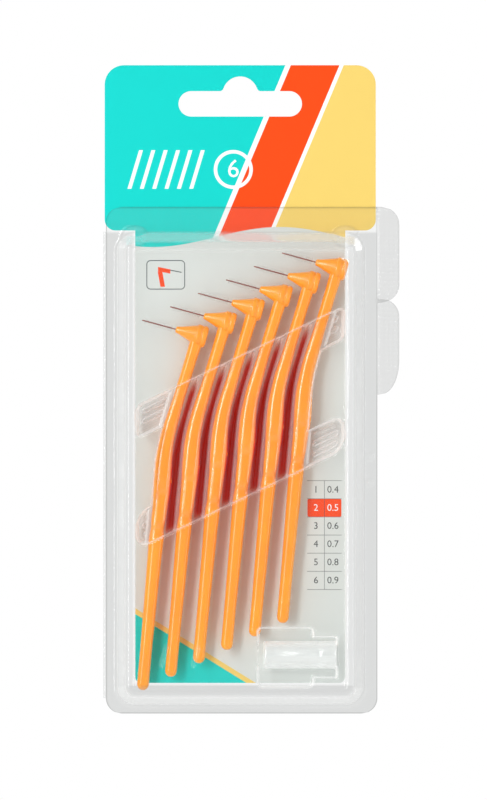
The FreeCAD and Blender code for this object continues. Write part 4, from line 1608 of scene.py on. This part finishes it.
@dataclass
class Studio:
    """White surround, soft lamps, a pale floor well below the pack and the camera."""

    ambient: float = 0.53
    distance: float = 1.6
    sensor: float = 36.0
    floor_drop: float = 0.30
    floor_half: float = 1.5

    def world(self) -> None:
        """Background: white to the eye, softer as a light and in reflections."""
        world = bpy.data.worlds.new("surround")
        world.use_nodes = True
        bpy.context.scene.world = world
        graph = Graph(world.node_tree)
        rays = graph.add("ShaderNodeLightPath").outputs
        seen = Field(graph, rays["Is Camera Ray"]).most(Field(graph, rays["Is Transmission Ray"]))
        strength = self.ambient + (1 - self.ambient) * seen
        light = graph.add("ShaderNodeBackground", inputs={"Color": (1, 1, 1, 1), "Strength": strength})
        graph.add("ShaderNodeOutputWorld", inputs={"Surface": light.outputs[0]})

    def lamp(self, name: str, place: Sequence[float], aim: Sequence[float], size: Sequence[float],
             watts: float) -> None:
        """Adds one soft box.

        Args:
            name: Its name.
            place: Where it stands.
            aim: The point it faces.
            size: Width and height.
            watts: Its power.
        """
        data = bpy.data.lights.new(name, "AREA")
        data.shape = "RECTANGLE"
        data.size, data.size_y = size
        data.energy = watts
        lamp = bpy.data.objects.new(name, data)
        lamp.location = place
        lamp.rotation_euler = (Vector(aim) - Vector(place)).to_track_quat("-Z", "Y").to_euler()
        bpy.context.scene.collection.objects.link(lamp)

    def floor(self) -> None:
        """Pale floor, matt, with a faint mottle, lifted towards white for the eye."""
        material, graph = new_material("pale_floor")
        mottle = graph.noise(0.004, 2.0)
        matt = graph.add("ShaderNodeBsdfPrincipled", inputs={
            "Base Color": graph.blend(mottle, linear(243, 243, 242), linear(250, 250, 249)),
            "Roughness": 0.8,
        })
        white = graph.add("ShaderNodeEmission", inputs={"Color": (1, 1, 1, 1), "Strength": 1.0})
        rays = graph.add("ShaderNodeLightPath").outputs
        seen = Field(graph, rays["Is Camera Ray"]).most(Field(graph, rays["Is Glossy Ray"]))
        seen = seen.most(Field(graph, rays["Is Transmission Ray"]))
        graph.surface(graph.mix(0.6 * seen, matt, white))
        edge = np.linspace(-self.floor_half, self.floor_half, 9) / MM
        x, y = np.meshgrid(edge, edge)
        points = np.stack([x, y, np.full_like(x, -self.floor_drop / MM)], axis=-1)
        build_piece("floor", [grid_patch(points)], material)

    def camera(self) -> None:
        """Long lens straight at the front, framed so that the slot falls on its place in the image."""
        pixel = PIXEL_MM * MM
        middle = ((PHOTO_WIDTH / 2 - SLOT_PIXEL[0]) * pixel, (SLOT_PIXEL[1] - PHOTO_HEIGHT / 2) * pixel)
        data = bpy.data.cameras.new("camera")
        data.sensor_width = self.sensor
        data.lens = self.sensor * self.distance / (PHOTO_HEIGHT * pixel)
        camera = bpy.data.objects.new("camera", data)
        camera.location = (middle[0], -self.distance, middle[1])
        camera.rotation_euler = (math.pi / 2, 0, 0)
        bpy.context.scene.collection.objects.link(camera)
        bpy.context.scene.camera = camera

    def build(self) -> None:
        """Sets up the whole studio."""
        scene = bpy.context.scene
        scene.view_settings.view_transform = "Standard"
        scene.cycles.transparent_max_bounces = 32
        aim = (0, 0, -0.08)
        self.world()
        self.lamp("key", (-0.55, -0.75, 0.45), aim, (0.6, 0.7), 2.1)
        self.lamp("left_strip", (-0.42, -0.72, -0.05), aim, (0.16, 0.8), 3.3)
        self.lamp("right_strip", (0.75, -0.35, 0.0), aim, (0.15, 0.6), 1.0)
        self.lamp("rear_fill", (0.45, 0.9, 0.35), aim, (0.7, 0.7), 4.5)
        self.floor()
        self.camera()


def main() -> None:
    """Builds every piece in order."""
    logging.basicConfig(level=logging.INFO, format="%(message)s")
    Studio().build()

    low, high = box_mm("front_shell")
    outline = CaseOutline(left=low[0], right=high[0] - CaseOutline.tab_reach, top=high[2], bottom=low[2])
    first = np.array([-9.8, -3.45, -60.3])
    start = box_mm("handle_1")[0]
    heads = [first + box_mm(f"handle_{number}")[0] - start for number in range(1, 7)]

    film = ClearFinish("formed_film", (0.976, 0.98, 0.978), (0.77, 0.775, 0.772), 0.007, 0.1, 0.5,
                       outline.right + 0.6, 0.3).material()
    # The cap's last number is its painted glow level.
    clear = ClearFinish("clear_plastic", (0.985, 0.988, 0.988), (0.9, 0.9, 0.9), 0.24, 0.06, 0.2,
                        high[0] + 5, 0.0, False, 1.5).material()
    fold = ClearFinish("folded_film", (0.93, 0.935, 0.933), (0.9, 0.9, 0.9), 0.02, 0.12, 0.2,
                       high[0] + 5, 0.0, False).material()

    CardPrint().build(CardFinish())
    BackFilm(outline).build(film)
    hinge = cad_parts["living_hinge"]
    hinge.data.materials.clear()
    hinge.data.materials.append(fold)
    log.info("living_hinge: dressed on %s", Half.REAR.value)

    plastic = PlasticFinish().material()
    wire = WireFinish().material()
    filament = FilamentFinish().material()
    for number, head in enumerate(heads, start=1):
        Brush(number, head).build(plastic, wire, filament)
    cap_low, cap_high = box_mm("cap")
    Cap(cap_low, cap_high).build(clear)
    FrontFilm(outline, heads=heads, cap_low=cap_low, cap_high=cap_high).build(film)

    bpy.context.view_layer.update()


if __name__ == "__main__":
    main()
